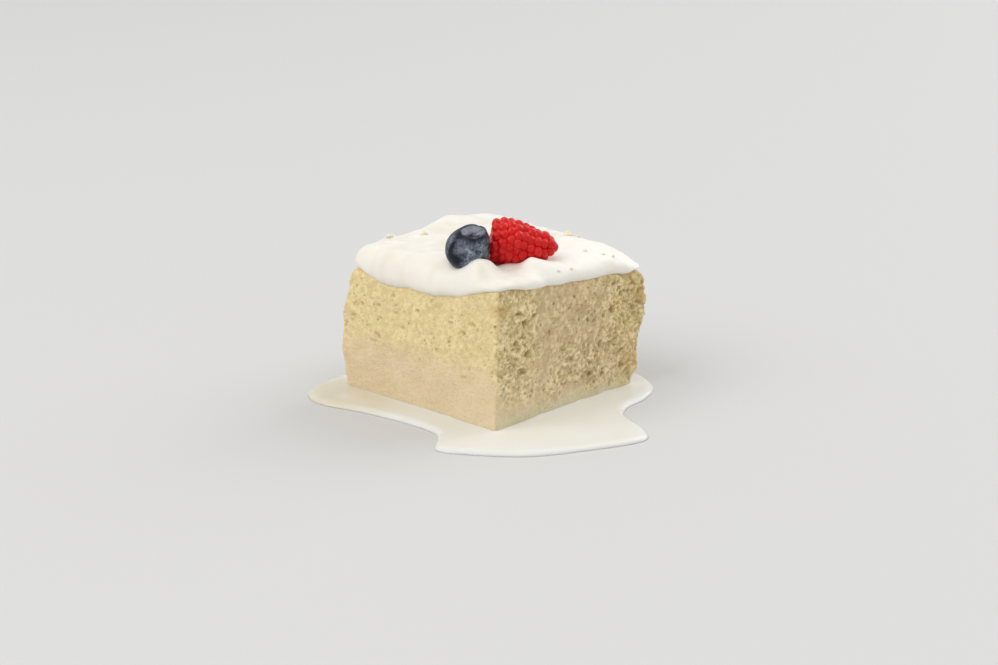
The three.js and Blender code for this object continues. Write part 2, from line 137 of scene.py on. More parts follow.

# Patches of the blueberry's skin: the way each faces, its width in radians, and the bloom it gains or lacks.
# The dark patch towards the raspberry is a painted shadow, and the bright one facing up and back is partly a
# painted highlight on the bloom.
BLUEBERRY_BLOOM_AND_LIGHT_PATCHES = np.array([
    (-0.02, -0.98, 0.21, 0.22, -0.7), (0.78, -0.60, 0.10, 0.50, 0.75), (0.49, 0.41, 0.77, 0.35, 1.0),
    (0.97, 0.00, 0.23, 0.30, 0.6), (0.71, 0.63, 0.31, 0.30, -0.9), (-0.15, -0.70, 0.70, 0.35, 0.35),
    (0.02, -0.93, -0.38, 0.42, -0.6),
])

# The raspberry runs from the middle of its wide end to its point.
RASPBERRY_ROOT = np.array([14.27, -16.2, 59.34]) * MM
RASPBERRY_TIP = np.array([31.4, -0.8, 57.2]) * MM
RASPBERRY_AXIS = RASPBERRY_TIP - RASPBERRY_ROOT
RASPBERRY_LENGTH = float(np.linalg.norm(RASPBERRY_AXIS))

# The pool's edge, counter-clockwise from its left end.
MILK_EDGE = np.array([
    (-38.6, -51.1), (-28.6, -54.2), (-11.9, -50.1), (7.2, -47.9), (20.2, -48.9), (25.7, -53.3),
    (31.9, -60.3), (41.4, -56.6), (57.9, -43.1), (69.0, -22.5), (74.7, -6.4), (69.5, 1.3),
    (55.4, 7.8), (49.4, 16.2), (47.4, 28.3), (41.4, 40.4), (27.3, 47.5), (13.5, 45.5),
    (1.0, 41.2), (-13.0, 42.4), (-27.0, 47.2), (-38.5, 43.4), (-41.8, 32.0), (-40.2, 18.0),
    (-43.6, 4.0), (-45.5, -12.0), (-45.6, -29.0), (-43.6, -43.1),
]) * MM


# Settings

def length(label, words, millimetres):
    """A size in metres whose default is given in millimetres."""
    return bpy.props.FloatProperty(
        name=label, description=words, default=millimetres * MM, precision=5, unit="LENGTH")


def share(label, words, value):
    """A share from 0 to 1."""
    return bpy.props.FloatProperty(
        name=label, description=words, default=value, min=0, max=1, subtype="FACTOR")


def number(label, words, value):
    """A plain number."""
    return bpy.props.FloatProperty(name=label, description=words, default=value)


def count(label, words, value):
    """A whole number."""
    return bpy.props.IntProperty(name=label, description=words, default=value, min=1)


def colour(label, words, value):
    """A linear colour."""
    return bpy.props.FloatVectorProperty(
        name=label, description=words, default=value, size=3, min=0, max=1, subtype="COLOR")


class SpongeSettings(bpy.types.PropertyGroup):
    """Sizes and colours of the sponge."""
    half: length("Half side", "Half of the sponge's side", 35.5)
    squareness: number("Squareness", "Power of the plan's rounded square", 60)
    rim: length("Rim", "Radius of the rounded top edge", 2.4)
    dome: length("Dome", "Rise of the top between its edges", 1.2)
    lump_pitch: length("Lumps", "Size of the crumb's broad lumps", 7.5)
    crag_pitch: length("Crags", "Size of the crags on the lumps", 4.1)
    crag_share: share("Crag depth", "Depth of the crags against the lumps", 0.7)
    foot_band: share("Foot band", "Share of the height over which the relief fades in", 0.12)
    hole_pitch: length("Hole spacing", "Spacing of the largest holes", 5.2)
    hole_depth: length("Hole depth", "Depth of the largest holes", 1.2)
    pore_pitch: length("Pore spacing", "Spacing of the middling pores", 2.5)
    pore_depth: length("Pore depth", "Depth of the middling pores", 0.8)
    cell_pitch: length("Cell spacing", "Spacing of the smallest pores", 1.35)
    cell_depth: length("Cell depth", "Depth of the smallest pores", 0.5)
    grain_pitch: length("Grain size", "Size of the crumb's grains", 1.3)
    grain: length("Grain", "Height of the crumb's grains", 0.14)
    tatter: length("Tatter", "Height of the torn crumb along the ragged edges", 0.9)
    around: count("Around", "Places round the block", 760)
    courses: count("Courses", "Rings up the sides", 114)
    dry: colour("Dry crumb", "Crumb of the upper part", (0.79, 0.64, 0.34))
    # Partly painted shade: darker, warmer crumb, most on the +X side, away from the key light.
    close: colour("Close crumb", "Smooth crumb in the middle of a side", (0.65, 0.48, 0.295))
    soaked: colour("Soaked crumb", "Crumb that has drawn up milk", (0.79, 0.625, 0.43))
    wet: colour("Wet crumb", "Crumb at the foot, wet with milk", (0.75, 0.715, 0.51))
    # Painted shade: the hollow colour darkens the pores, the fine pits and the gaps between grains.
    hollow: colour("Hollow", "Inside of the pores", (0.43, 0.305, 0.115))
    # Painted highlight: the paler colour that the raised grains take.
    crest_highlight: colour("Crest", "Grains that stand out", (0.98, 0.82, 0.48))
    crust: colour("Crust", "Baked skin along the top edge", (0.62, 0.40, 0.14))


class CreamSettings(bpy.types.PropertyGroup):
    """Sizes and colours of the cream."""
    squareness: number("Squareness", "Power of the coat's rounded square", 9)
    dome: length("Dome", "Rise of the coat between its edges", 1.0)
    lump_pitch: length("Lumps", "Size of the soft lumps", 12)
    lump_rise: length("Lump rise", "Height of the soft lumps", 0.9)
    dollop_pitch: length("Dollops", "Size of the small dollops", 5.2)
    dollop_rise: length("Dollop rise", "Height of the small dollops", 0.6)
    ragged: length("Ragged end", "Height of the rough cream at the +X +Y corner", 0.5)
    shoulder: length("Shoulder", "Width of the rounded shoulder", 6.5)
    shoulder_drop: share("Shoulder drop", "Share of the fall at which the coat is widest", 0.66)
    tuck: length("Tuck", "How far the lower edge turns in behind the sponge's side", 1.5)
    bury: length("Bury", "Depth of the closing cone inside the sponge", 14)
    collar: length("Collar", "Rise of the cream where it meets the berries", 0.25)
    around: count("Around", "Places round the coat", 480)
    rings: count("Rings", "Rings over the top", 64)
    # Painted shade: the darker white in the folds between the dollops.
    fold_shade_white: colour("Warm white", "Cream in its folds", (0.81, 0.765, 0.68))
    cool: colour("Cool white", "Cream on its rises", (0.875, 0.845, 0.775))
    # Painted light: a brighter white on the coat's +X side, away from the key light.
    bright: colour("Bright white", "Thick cream along the +X side", (0.925, 0.895, 0.82))


class BlueberrySettings(bpy.types.PropertyGroup):
    """Sizes and colours of the blueberry."""
    radius: length("Radius", "Radius across the berry", 7.4)
    tall: length("Upper half", "Height of the upper half, before the calyx", 7.4)
    deep: length("Lower half", "Depth of the lower half", 6.9)
    fullness: share("Fullness", "Power that squares the upper half", 0.72)
    crown_radius: length("Crown", "Radius of the calyx's ring", 4.4)
    crown_rise: length("Crown rise", "Height of the calyx's ring", 0.7)
    crown_width: length("Crown width", "Width of the calyx's ring", 0.9)
    lobe_depth: share("Lobes", "How far the ring dips between its lobes", 0.6)
    hollow: length("Hollow", "Depth of the dimple inside the ring", 1.7)
    around: count("Around", "Places round the berry", 240)
    rings: count("Rings", "Rings from pole to pole", 140)
    skin: colour("Skin", "Skin where the bloom is rubbed off", (0.012, 0.013, 0.024))
    bloom_light_and_shade: colour("Bloom", "Waxy bloom", (0.37, 0.42, 0.51))
    calyx: colour("Calyx", "Dry inside of the calyx", (0.30, 0.305, 0.36))


class RaspberrySettings(bpy.types.PropertyGroup):
    """Sizes and colours of the raspberry."""
    girth: length("Girth", "Radius through the beads' middles at the widest", 6.6)
    root_girth: length("Root girth", "The same at the wide end", 5.1)
    widest: length("Widest", "Distance from the wide end at which it is widest", 4.6)
    taper: number("Taper", "Power of the fall towards the point", 1.1)
    tip_round: number("Roundness", "Power that rounds the point", 0.5)
    core: number("Core", "Radius that the creases reach down to, against the beads' circle", 1.19)
    recess: length("Recess", "Radius of the hollow in the wide end", 3.0)
    recess_depth: length("Recess depth", "Depth of the hollow in the wide end", 4.0)
    bead: length("Bead", "Radius of a bead", 1.95)
    bead_variation: share("Bead variation", "Spread of the beads' radii", 0.13)
    bead_drift: share("Bead drift", "How far a bead strays along its row", 0.2)
    bead_stray: length("Bead stray", "How far a bead strays out of its row", 0.3)
    pitch: length("Pitch", "Spacing of the beads in a row", 2.7)
    row: length("Row", "Spacing of the rows", 2.4)
    hair: length("Hair", "Length of the fine hairs", 1.6)
    flesh: colour("Flesh", "Ripe beads", (0.60, 0.004, 0.004))
    pale: colour("Pale flesh", "Paler beads", (0.70, 0.012, 0.009))
    hair_colour: colour("Hairs", "Dry styles on the beads", (0.34, 0.10, 0.05))


class MilkSettings(bpy.types.PropertyGroup):
    """Sizes and colours of the milk."""
    depth: length("Depth", "Depth of the pool", 1.6)
    bank: length("Bank", "Width of the rounded edge", 3.0)
    climb: length("Climb", "How far the milk climbs the sponge's foot", 0.9)
    climb_width: length("Climb width", "Width of that rise", 1.8)
    inside: length("Inside", "How far the pool reaches in behind the sponge's side", 1.6)
    around: count("Around", "Places round the pool", 600)
    milk: colour("Milk", "Sweet milk", (0.79, 0.795, 0.755))
    # Partly painted shade: the darker, yellower milk at the left of the front.
    thin_and_shaded: colour("Thin milk", "Thinner milk", (0.67, 0.61, 0.45))
    # Painted light: the brighter milk along the sponge's +X foot.
    foot_light: colour("Froth", "Milk that gathers along the sponge's foot", (0.94, 0.90, 0.82))


class CrumbSettings(bpy.types.PropertyGroup):
    """Sizes and colours of the loose crumbs."""
    smallest: length("Smallest", "Radius of the smallest crumb", 0.35)
    largest: length("Largest", "Radius of the largest crumb", 1.8)
    crumb: colour("Crumb", "Loose pale crumb", (0.86, 0.78, 0.60))
    shaded: colour("Shaded crumb", "Small crumb", (0.85, 0.79, 0.66))


class StageSettings(bpy.types.PropertyGroup):
    """Camera, floor and light."""
    eye: bpy.props.FloatVectorProperty(
        name="Eye", description="Place of the camera", default=(0.5319, -0.5829, 0.2599),
        subtype="TRANSLATION")
    target: bpy.props.FloatVectorProperty(
        name="Target", description="Point in the middle of the picture", default=(0.0122, -0.0089, 0.0250),
        subtype="TRANSLATION")
    roll: bpy.props.FloatProperty(
        name="Roll", description="Turn of the camera about its line of sight", default=0.0119,
        subtype="ANGLE")
    lens: number("Lens", "Focal length in millimetres", 85)
    floor: colour("Floor", "Plain floor", (0.64, 0.64, 0.64))
    sky: colour("Room", "Light that comes from all round", (1.0, 1.0, 1.0))
    sky_strength: number("Room strength", "Strength of the light from all round", 0.62)
    key_power: bpy.props.FloatProperty(
        name="Key", description="Power of the main light", default=35.0, unit="POWER")
    fill_power: bpy.props.FloatProperty(
        name="Fill", description="Power of the broad light overhead", default=6.0, unit="POWER")
    back_power: bpy.props.FloatProperty(
        name="Back", description="Power of the light from behind", default=24.0, unit="POWER")


class CakeSettings(bpy.types.PropertyGroup):
    """All settings of the milk cake."""
    sponge: bpy.props.PointerProperty(type=SpongeSettings)
    cream: bpy.props.PointerProperty(type=CreamSettings)
    blueberry: bpy.props.PointerProperty(type=BlueberrySettings)
    raspberry: bpy.props.PointerProperty(type=RaspberrySettings)
    milk: bpy.props.PointerProperty(type=MilkSettings)
    crumbs: bpy.props.PointerProperty(type=CrumbSettings)
    stage: bpy.props.PointerProperty(type=StageSettings)


# Numbers on grids

SCATTER_STEPS = (127.1, 311.7, 74.7)
SCATTER_STRETCH = 43758.5453

# The largest radius of a hollow, against the pitch of its lattice.
HOLLOW_REACH = 0.7

# The power that keeps the blend of two sides close to their shared edge, and the least share of a side.
SIDE_POWER = 29
SIDE_LEAST = 1e-3

# Keeps a divisor above nought.
TINY = 1e-6


def scatter(i, j, k):
    """The fraction of a stretched sine of three lattice numbers: a repeatable number from 0 to 1.

    Plain numbers given for some of the three only set one set of scattered numbers apart from another.
    """
    step_i, step_j, step_k = SCATTER_STEPS
    wave = np.sin(i * step_i + j * step_j + k * step_k) * SCATTER_STRETCH
    return wave - np.floor(wave)


def smooth(value):
    """The cubic ease 3t² - 2t³ from 0 to 1."""
    t = np.clip(value, 0, 1)
    return t * t * (3 - 2 * t)


def ramp(value, start, end):
    """The cubic ease of how far a value has gone from start to end."""
    return smooth((value - start) / (end - start))


def bell(value, width):
    """The Gaussian exp(-x²) of a value counted in widths."""
    return np.exp(-((value / width) ** 2))


def full_turn(total, start=0.0):
    """Even angles round a full turn."""
    return np.linspace(start, start + TURN, total, endpoint=False)


def unit(vectors):
    """Vectors brought to a length of 1."""
    return vectors / np.maximum(np.linalg.norm(vectors, axis=-1, keepdims=True), TINY)


def lumps(points, pitch):
    """Scattered numbers from -1 to 1 on a lattice a pitch apart, blended by the cubic ease on each axis."""
    scaled = points / pitch
    cell = np.floor(scaled)
    part = smooth(scaled - cell)
    total = np.zeros(points.shape[:-1])
    for step in np.ndindex(2, 2, 2):
        weight = np.prod(np.where(np.array(step, bool), part, 1 - part), axis=-1)
        total += weight * scatter(*np.moveaxis(cell + step, -1, 0))
    return 2 * total - 1


def layered(points, *layers):
    """Lumps of several sizes added up: each layer has its pitch and its height."""
    return sum(height * lumps(points, pitch) for pitch, height in layers)


def drift(points, pitch, reach, shifts):
    """A shift along X, Y and Z, by lumps that are read at another place for each axis."""
    return reach * np.stack([lumps(points + shift, pitch) for shift in shifts], -1)


def hollows(points, pitch, fullness, salt):
    """How deep each point lies in a field of round hollows, from 0 outside to 1 in a hollow's middle.

    Each lattice cell holds one hollow at a scattered place. Its radius goes with the square root of how far
    the local fullness tops the hollow's own scattered number. Its depth is 1 less the squared share of the
    radius, and the deepest hollow counts.
    """
    scaled = points / pitch
    cell = np.floor(scaled)
    deepest = np.zeros(points.shape[:-1])
    for step in np.ndindex(3, 3, 3):
        i, j, k = np.moveaxis(cell + step - 1, -1, 0)
        offsets = (scatter(i + salt, j, k), scatter(i, j + salt, k), scatter(i, j, k + salt))
        middle = np.stack([i, j, k], -1) + np.stack(offsets, -1)
        room = np.clip(fullness - scatter(i + salt, j + salt, k + salt), TINY, 1)
        away = ((scaled - middle) ** 2).sum(-1) / (HOLLOW_REACH**2 * room)
        deepest = np.maximum(deepest, 1 - away)
    return deepest


def ovals(across, height, places):
    """How deep each point of a side lies in oval pores: 1 less the squared distance in half widths."""
    deepest = np.zeros_like(across)
    for middle, level, half_width, half_height in places:
        away = ((across - middle) / half_width) ** 2 + ((height - level) / half_height) ** 2
        deepest = np.maximum(deepest, 1 - away)
    return deepest


def square_point(angle, power):
    """The point of a rounded unit square, |u|^power + |v|^power = 1, walked evenly along each side."""
    quarter = np.round(angle / (np.pi / 2)) * (np.pi / 2)
    turn = quarter + np.arctan((angle - quarter) / (np.pi / 4))
    u, v = np.cos(turn), np.sin(turn)
    reach = (np.abs(u) ** power + np.abs(v) ** power) ** (-1 / power)
    return u * reach, v * reach


def blend(u, v, values):
    """Values of the four corners, each weighted by (1 + u sign)(1 + v sign) / 4."""
    weights = (1 + u[..., None] * CORNER_SIGNS[:, 0]) * (1 + v[..., None] * CORNER_SIGNS[:, 1]) / 4
    return weights @ values


def by_side(u, v, values):
    """Values of the sides -Y, +X, +Y and -X, blended only close to the upright edges, by high powers."""
    towards = np.stack([-v, u, v, -u], -1)
    weights = np.clip(towards, SIDE_LEAST, None) ** SIDE_POWER
    return (weights * values).sum(-1) / weights.sum(-1)


def closed_curve(values, place):
    """A closed smooth curve through evenly spaced values, by cubic pieces with central slopes."""
    total = len(values)
    start = np.floor(place).astype(int)
    t = place - start
    a, b, c, d = (values[(start + step) % total] for step in (-1, 0, 1, 2))
    if values.ndim > 1:
        t = t[..., None]
    return (
        (2 * t**3 - 3 * t**2 + 1) * b
        + (t**3 - 2 * t**2 + t) * (c - a) / 2
        + (3 * t**2 - 2 * t**3) * c
        + (t**3 - t**2) * (d - b) / 2
    )


def round_grid(out, angle, height):
    """Points at a distance out from the Z axis, at an angle round it and a height along it."""
    return np.stack(np.broadcast_arrays(out * np.cos(angle), out * np.sin(angle), height), -1)


def turned(points, towards):
    """Points turned by the shortest turn that carries +Z to a direction."""
    turn = Vector((0, 0, 1)).rotation_difference(Vector(towards)).to_matrix()
    return points @ np.array(turn).T


# Meshes

def ring_faces(rings, around, closed=False):
    """Quads between neighbouring rings of a grid, each closed on itself, and from last to first if closed."""
    low = np.arange(rings if closed else rings - 1)[:, None] * around
    high = (low + around) % (rings * around)
    here = np.arange(around)[None, :]
    on = (here + 1) % around
    return np.stack([low + here, low + on, high + on, high + here], -1).reshape(-1, 4)


def skin_order(grid):
    """Values of a grid in the order of a skin's vertices: the rings, then the first and the last pole."""
    return np.concatenate([grid[1:-1].reshape(-1, *grid.shape[2:]), grid[0, :1], grid[-1, :1]])


def skin(points):
    """Vertices and groups of faces of a closed skin: rings from pole to pole, the end rings single points."""
    rings, around = points.shape[0] - 2, points.shape[1]
    here = np.arange(around)
    on = (here + 1) % around
    pole = np.full(around, rings * around)
    top = (rings - 1) * around
    low_fan = np.stack([pole, on, here], -1)
    high_fan = np.stack([pole + 1, top + here, top + on], -1)
    return skin_order(points), [ring_faces(rings, around), low_fan, high_fan]


def copies(faces, placed):
    """Many placed copies of one small skin, joined: placed has a set of points for each copy."""
    first = np.arange(len(placed))[:, None, None] * placed.shape[1]
    return placed.reshape(-1, 3), [(group + first).reshape(-1, group.shape[-1]) for group in faces]


def add_piece(name, vertices, faces, material, node=None, slot=None, **marks):
    """Puts a surface into the scene as a smooth piece of the cake, with its marks as point attributes."""
    mesh = bpy.data.meshes.new(name)
    mesh.from_pydata(vertices.tolist(), [], sum((group.tolist() for group in faces), []))
    if mesh.validate():
        raise RuntimeError(f"the surface of {name} has broken faces")
    mesh.shade_smooth()
    for label, values in marks.items():
        attribute = mesh.attributes.new(label, "FLOAT", "POINT")
        attribute.data.foreach_set("value", np.ravel(values).astype(np.float32))
    mesh.materials.append(material)
    piece = bpy.data.objects.new(name, mesh)
    bpy.context.scene.collection.objects.link(piece)
    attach(piece, BODY)
    if node:
        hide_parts(node)


def add_skin(name, points, material, node=None, slot=None, **marks):
    """Adds a closed skin from a grid of points, with marks on the same grid."""
    ordered = {label: skin_order(values) for label, values in marks.items()}
    add_piece(name, *skin(points), material, node, slot, **ordered)


# Finishes

# How far red, green and blue light spread inside, against each other.
CRUMB_GLOW = (1.0, 0.7, 0.4)
CREAM_GLOW = (1.0, 0.9, 0.72)
BERRY_GLOW = (1.0, 0.15, 0.1)


def plug(tree, socket, value):
    """Links a socket to another one, or sets its own value, with full alpha for a colour."""
    if isinstance(value, bpy.types.NodeSocket):
        tree.links.new(value, socket)
    elif socket.type == "RGBA":
        socket.default_value = (*value, 1.0)
    else:
        socket.default_value = value


def node(tree, kind, values=(), **options):
    """Adds a node, sets its options, and sets or links its sockets."""
    made = tree.nodes.new(kind)
    for option, value in options.items():
        setattr(made, option, value)
    for socket, value in dict(values).items():
        plug(tree, made.inputs[socket], value)
    return made


def mixed(tree, factor, first, second):
    """The colour between two colours."""
    return node(tree, "ShaderNodeMix", {0: factor, 6: first, 7: second}, data_type="RGBA").outputs[2]


def covered(tree, base, *coats):
    """A colour under coats that are laid on in turn: each coat has its mask and its colour."""
    for mask, coat in coats:
        base = mixed(tree, mask, base, coat)
    return base


def ranged(tree, value, at_nought, at_one):
    """A value from 0 to 1 carried to the range between two others."""
    ends = {"Value": value, "To Min": at_nought, "To Max": at_one}
    return node(tree, "ShaderNodeMapRange", ends).outputs[0]


def times(tree, value, factor):
    """A value multiplied by another."""
    return node(tree, "ShaderNodeMath", {0: value, 1: factor}, operation="MULTIPLY").outputs[0]


def mark(tree, name):
    """A point attribute of the piece."""
    return node(tree, "ShaderNodeAttribute", attribute_name=name).outputs["Fac"]


def relief(tree, height, distance, strength):
    """A normal bent by fine relief, its distance in metres."""
    values = {"Height": height, "Distance": distance, "Strength": strength}
    return node(tree, "ShaderNodeBump", values).outputs["Normal"]


def new_group(name, inputs, outputs):
    """An empty shader group with number sockets, its inputs, its output node and the piece's coordinates."""
    group = bpy.data.node_groups.new(name, "ShaderNodeTree")
    for label, value in inputs.items():
        socket = group.interface.new_socket(label, in_out="INPUT", socket_type="NodeSocketFloat")
        socket.default_value = value
    for label in outputs:
        group.interface.new_socket(label, in_out="OUTPUT", socket_type="NodeSocketFloat")
    given = group.nodes.new("NodeGroupInput").outputs
    where = node(group, "ShaderNodeTexCoord").outputs["Object"]
    return group, given, group.nodes.new("NodeGroupOutput"), where


def noise_over(group, where, scale, detail):
    """Noise over the piece's own coordinates."""
    values = {"Vector": where, "Scale": scale, "Detail": detail}
    return node(group, "ShaderNodeTexNoise", values).outputs["Fac"]


def mottling():
    """Soft uneven patches: noise over the piece, stretched from a low to a high threshold."""
    if "Mottling" in bpy.data.node_groups:
        return bpy.data.node_groups["Mottling"]
    inputs = {"Scale": 100, "Low": 0.35, "High": 0.65}
    group, given, result, where = new_group("Mottling", inputs, ["Mask"])
    noise = noise_over(group, where, given["Scale"], detail=3.0)
    patches = node(group, "ShaderNodeMapRange", {
        "Value": noise, "From Min": given["Low"], "From Max": given["High"]})
    plug(group, result.inputs["Mask"], patches.outputs[0])
    return group


def fine_grain():
    """Fine relief: noise with the small round pits of a cell pattern sunk in it, and where the pits are."""
    if "Fine grain" in bpy.data.node_groups:
        return bpy.data.node_groups["Fine grain"]
    inputs = {"Scale": 900, "Pits": 0.5}
    group, given, result, where = new_group("Fine grain", inputs, ["Height", "Pit"])
    noise = noise_over(group, where, given["Scale"], detail=4.0)
    cells = node(group, "ShaderNodeTexVoronoi", {"Vector": where, "Scale": given["Scale"]})
    pits = node(group, "ShaderNodeMapRange", {
        "Value": cells.outputs["Distance"], "From Min": 0.1, "From Max": 0.5, "To Min": 1.0, "To Max": 0.0})
    deep = times(group, pits.outputs[0], given["Pits"])
    total = node(group, "ShaderNodeMath", {0: noise, 1: deep}, operation="SUBTRACT")
    plug(group, result.inputs["Height"], total.outputs[0])
    plug(group, result.inputs["Pit"], pits.outputs[0])
    return group


def mottled(tree, **values):
    """The mask of the soft patches, placed in a material with its own values."""
    return node(tree, "ShaderNodeGroup", values, node_tree=mottling()).outputs["Mask"]


def grained(tree, **values):
    """The fine relief's height and pits, placed in a material with its own values."""
    return node(tree, "ShaderNodeGroup", values, node_tree=fine_grain()).outputs


def feed(tree, shader, **values):
    """Links or sets the shader's sockets, whose names have _ for a space here."""
    for label, value in values.items():
        plug(tree, shader.inputs[label.replace("_", " ")], value)


def new_finish(name, **values):
    """A material, its node tree and its shader, with the shader's constant values set."""
    material = bpy.data.materials.new(name)
    material.use_nodes = True
    shader = material.node_tree.nodes["Principled BSDF"]
    feed(material.node_tree, shader, **values)
    return material, material.node_tree, shader


def sponge_finish(s):
    """Pale yellow crumb, beige where it has drawn up milk and baked along the top.

    Painted shade darkens its pores, pits and the gaps between its grains, and a painted highlight lightens
    its raised grains. The darker close crumb of the +X side is partly painted shade.
    """
    material, tree, shader = new_finish(
        "Sponge", Subsurface_Weight=0.2, Subsurface_Radius=CRUMB_GLOW, Subsurface_Scale=0.8 * MM,
        Specular_IOR_Level=0.3)
    patch_shade, patch_share, speck_share, pit_shade_share, pore_shade_share = 0.88, 0.4, 0.18, 0.5, 0.85
    patches = mottled(tree, Scale=160.0, Low=0.3, High=0.7)
    specks = mottled(tree, Scale=900.0, Low=0.42, High=0.72)
    grain = grained(tree, Scale=1200.0, Pits=0.7)
    pits = times(tree, grain["Pit"], mark(tree, "open"))
    base = covered(
        tree, s.dry,
        # The darker close crumb, partly painted shade on the +X side.
        (mark(tree, "close"), s.close),
        (mark(tree, "soak"), s.soaked),
        (mark(tree, "wet"), s.wet),
        (times(tree, patches, patch_share), [patch_shade * value for value in s.dry]),
        (times(tree, specks, speck_share), s.hollow),
        # Painted highlight on the raised grains.
        (mark(tree, "crest_highlight"), s.crest_highlight),
        # Painted shade in the fine pits, the pores and the gaps between grains.
        (times(tree, pits, pit_shade_share), s.hollow),
        (times(tree, mark(tree, "painted_pore_shade"), pore_shade_share), s.hollow),
        (mark(tree, "crust"), s.crust),
    )
    roughness = ranged(tree, mark(tree, "soak"), at_nought=0.8, at_one=0.55)
    normal = relief(tree, grain["Height"], distance=0.3 * MM, strength=0.6)
    feed(tree, shader, Base_Color=base, Roughness=roughness, Normal=normal)
    return material


def cream_finish(s):
    """White cream with a soft sheen and fine bubbles, painted shade in its folds and painted light on the +X
    side.
    """
    material, tree, shader = new_finish(
        "Whipped cream", Subsurface_Weight=0.85, Subsurface_Radius=CREAM_GLOW, Subsurface_Scale=2 * MM,
        Specular_IOR_Level=0.4)
    patches = mottled(tree, Scale=120.0, Low=0.35, High=0.7)
    grain = grained(tree, Scale=1100.0, Pits=0.25)
    # Painted shade in the folds, painted light on the +X side.
    base = covered(tree, s.cool, (mark(tree, "fold_shade"), s.fold_shade_white), (mark(tree, "thick"), s.bright))
    roughness = ranged(tree, patches, at_nought=0.42, at_one=0.55)
    normal = relief(tree, grain["Height"], distance=0.12 * MM, strength=0.35)
    feed(tree, shader, Base_Color=base, Roughness=roughness, Normal=normal)
    return material


def blueberry_finish(s):
    """Dark skin under a waxy bloom that is rubbed off in patches, with a dry calyx.

    Some patches are painted light and shade, and so is the dark round the calyx's lobes and on its shaded
    side.
    """
    material, tree, shader = new_finish("Blueberry skin", Specular_IOR_Level=0.12)
    dust_share = 0.35
    broad = mottled(tree, Scale=260.0, Low=0.36, High=0.60)
    fine = mottled(tree, Scale=1000.0, Low=0.25, High=0.62)
    grain = grained(tree, Scale=2200.0, Pits=0.2)
    broad_bloom = ranged(tree, broad, at_nought=0.25, at_one=1.0)
    # The bloom's mask carries a painted shadow, a painted highlight and painted shade round the calyx.
    bloom_light_and_shade = times(tree, times(tree, broad_bloom, fine), mark(tree, "bloom_light_and_shade"))
    # The calyx takes the skin colour at its style, its blots and as painted shade on its shaded side.
    calyx_dust_and_shade = covered(tree, s.calyx, (mark(tree, "stain_and_shade"), s.skin), (times(tree, fine, dust_share), s.skin))
    base = covered(tree, s.skin, (bloom_light_and_shade, s.bloom_light_and_shade), (mark(tree, "calyx"), calyx_dust_and_shade))
    roughness = ranged(tree, bloom_light_and_shade, at_nought=0.33, at_one=0.7)
    normal = relief(tree, grain["Height"], distance=0.1 * MM, strength=0.3)
    feed(tree, shader, Base_Color=base, Roughness=roughness, Normal=normal)
    return material


def raspberry_finish(s):
    """Moist translucent red, a little paler on some beads."""
    material, tree, shader = new_finish(
        "Raspberry flesh", Subsurface_Weight=0.2, Subsurface_Radius=BERRY_GLOW, Subsurface_Scale=0.8 * MM,
        Specular_IOR_Level=0.28)
    patch_share = 0.35
    patches = mottled(tree, Scale=420.0, Low=0.35, High=0.75)
    grain = grained(tree, Scale=2000.0, Pits=0.15)
    base = covered(tree, s.flesh, (mark(tree, "tone"), s.pale), (times(tree, patches, patch_share), s.pale))
    roughness = ranged(tree, patches, at_nought=0.22, at_one=0.36)
    normal = relief(tree, grain["Height"], distance=0.1 * MM, strength=0.3)
    feed(tree, shader, Base_Color=base, Roughness=roughness, Normal=normal)
    return material


def hair_finish(s):
    """Dry reddish-brown hairs, paler in patches."""
    material, tree, shader = new_finish("Raspberry hairs", Roughness=0.6)
    whiteness = 0.6
    patches = mottled(tree, Scale=300.0, Low=0.3, High=0.7)
    pale = [whiteness + (1 - whiteness) * value for value in s.hair_colour]
    feed(tree, shader, Base_Color=covered(tree, s.hair_colour, (patches, pale)))
    return material


def milk_finish(s):
    """Wet milk, thinner and yellower in places, partly as painted shade at the left of the front.

    Painted light brightens it along the sponge's +X foot, where the sponge shades it.
    """
    material, tree, shader = new_finish(
        "Sweet milk", Subsurface_Weight=0.6, Subsurface_Radius=CREAM_GLOW, Subsurface_Scale=2 * MM,
        IOR=1.35, Specular_IOR_Level=0.4)
    patch_share = 0.15
    patches = mottled(tree, Scale=60.0, Low=0.35, High=0.75)
    base = covered(
        tree, s.milk,
        (times(tree, patches, patch_share), s.thin_and_shaded),
        # Thin milk, partly painted shade.
        (mark(tree, "thin_and_shaded"), s.thin_and_shaded),
        # Painted light along the +X foot.
        (mark(tree, "foot_light"), s.foot_light),
    )
    feed(tree, shader, Base_Color=base, Roughness=ranged(tree, patches, at_nought=0.15, at_one=0.22))
    return material


def crumb_finish(s):
    """Loose crumb, paler on the larger ones."""
    material, tree, shader = new_finish(
        "Loose crumbs", Subsurface_Weight=0.3, Subsurface_Radius=CRUMB_GLOW, Subsurface_Scale=0.8 * MM,
        Roughness=0.75)
    patch_share = 0.35
    patches = mottled(tree, Scale=700.0, Low=0.35, High=0.65)
    grain = grained(tree, Scale=1800.0, Pits=0.6)
    shade = times(tree, patches, patch_share)
    base = covered(tree, s.shaded, (mark(tree, "pale"), s.crumb), (shade, s.shaded))
    normal = relief(tree, grain["Height"], distance=0.3 * MM, strength=0.6)
    feed(tree, shader, Base_Color=base, Normal=normal)
    return material


# Sponge

# The rim's places round its bend, and the rings over the top as shares of the half side.
RIM_STEPS = 8
TOP_RINGS = np.array([0.91, 0.88, 0.84, 0.76, 0.6, 0.3])

# Where the crags are read, away from the lumps.
CRAG_SHIFT = np.array([31, 17, 5]) * MM

# The line that the milk has risen to wanders by lumps of two sizes: pitch and height of each.
SOAK_WANDER = ((11 * MM, 3.0 * MM), (4 * MM, 1.2 * MM))

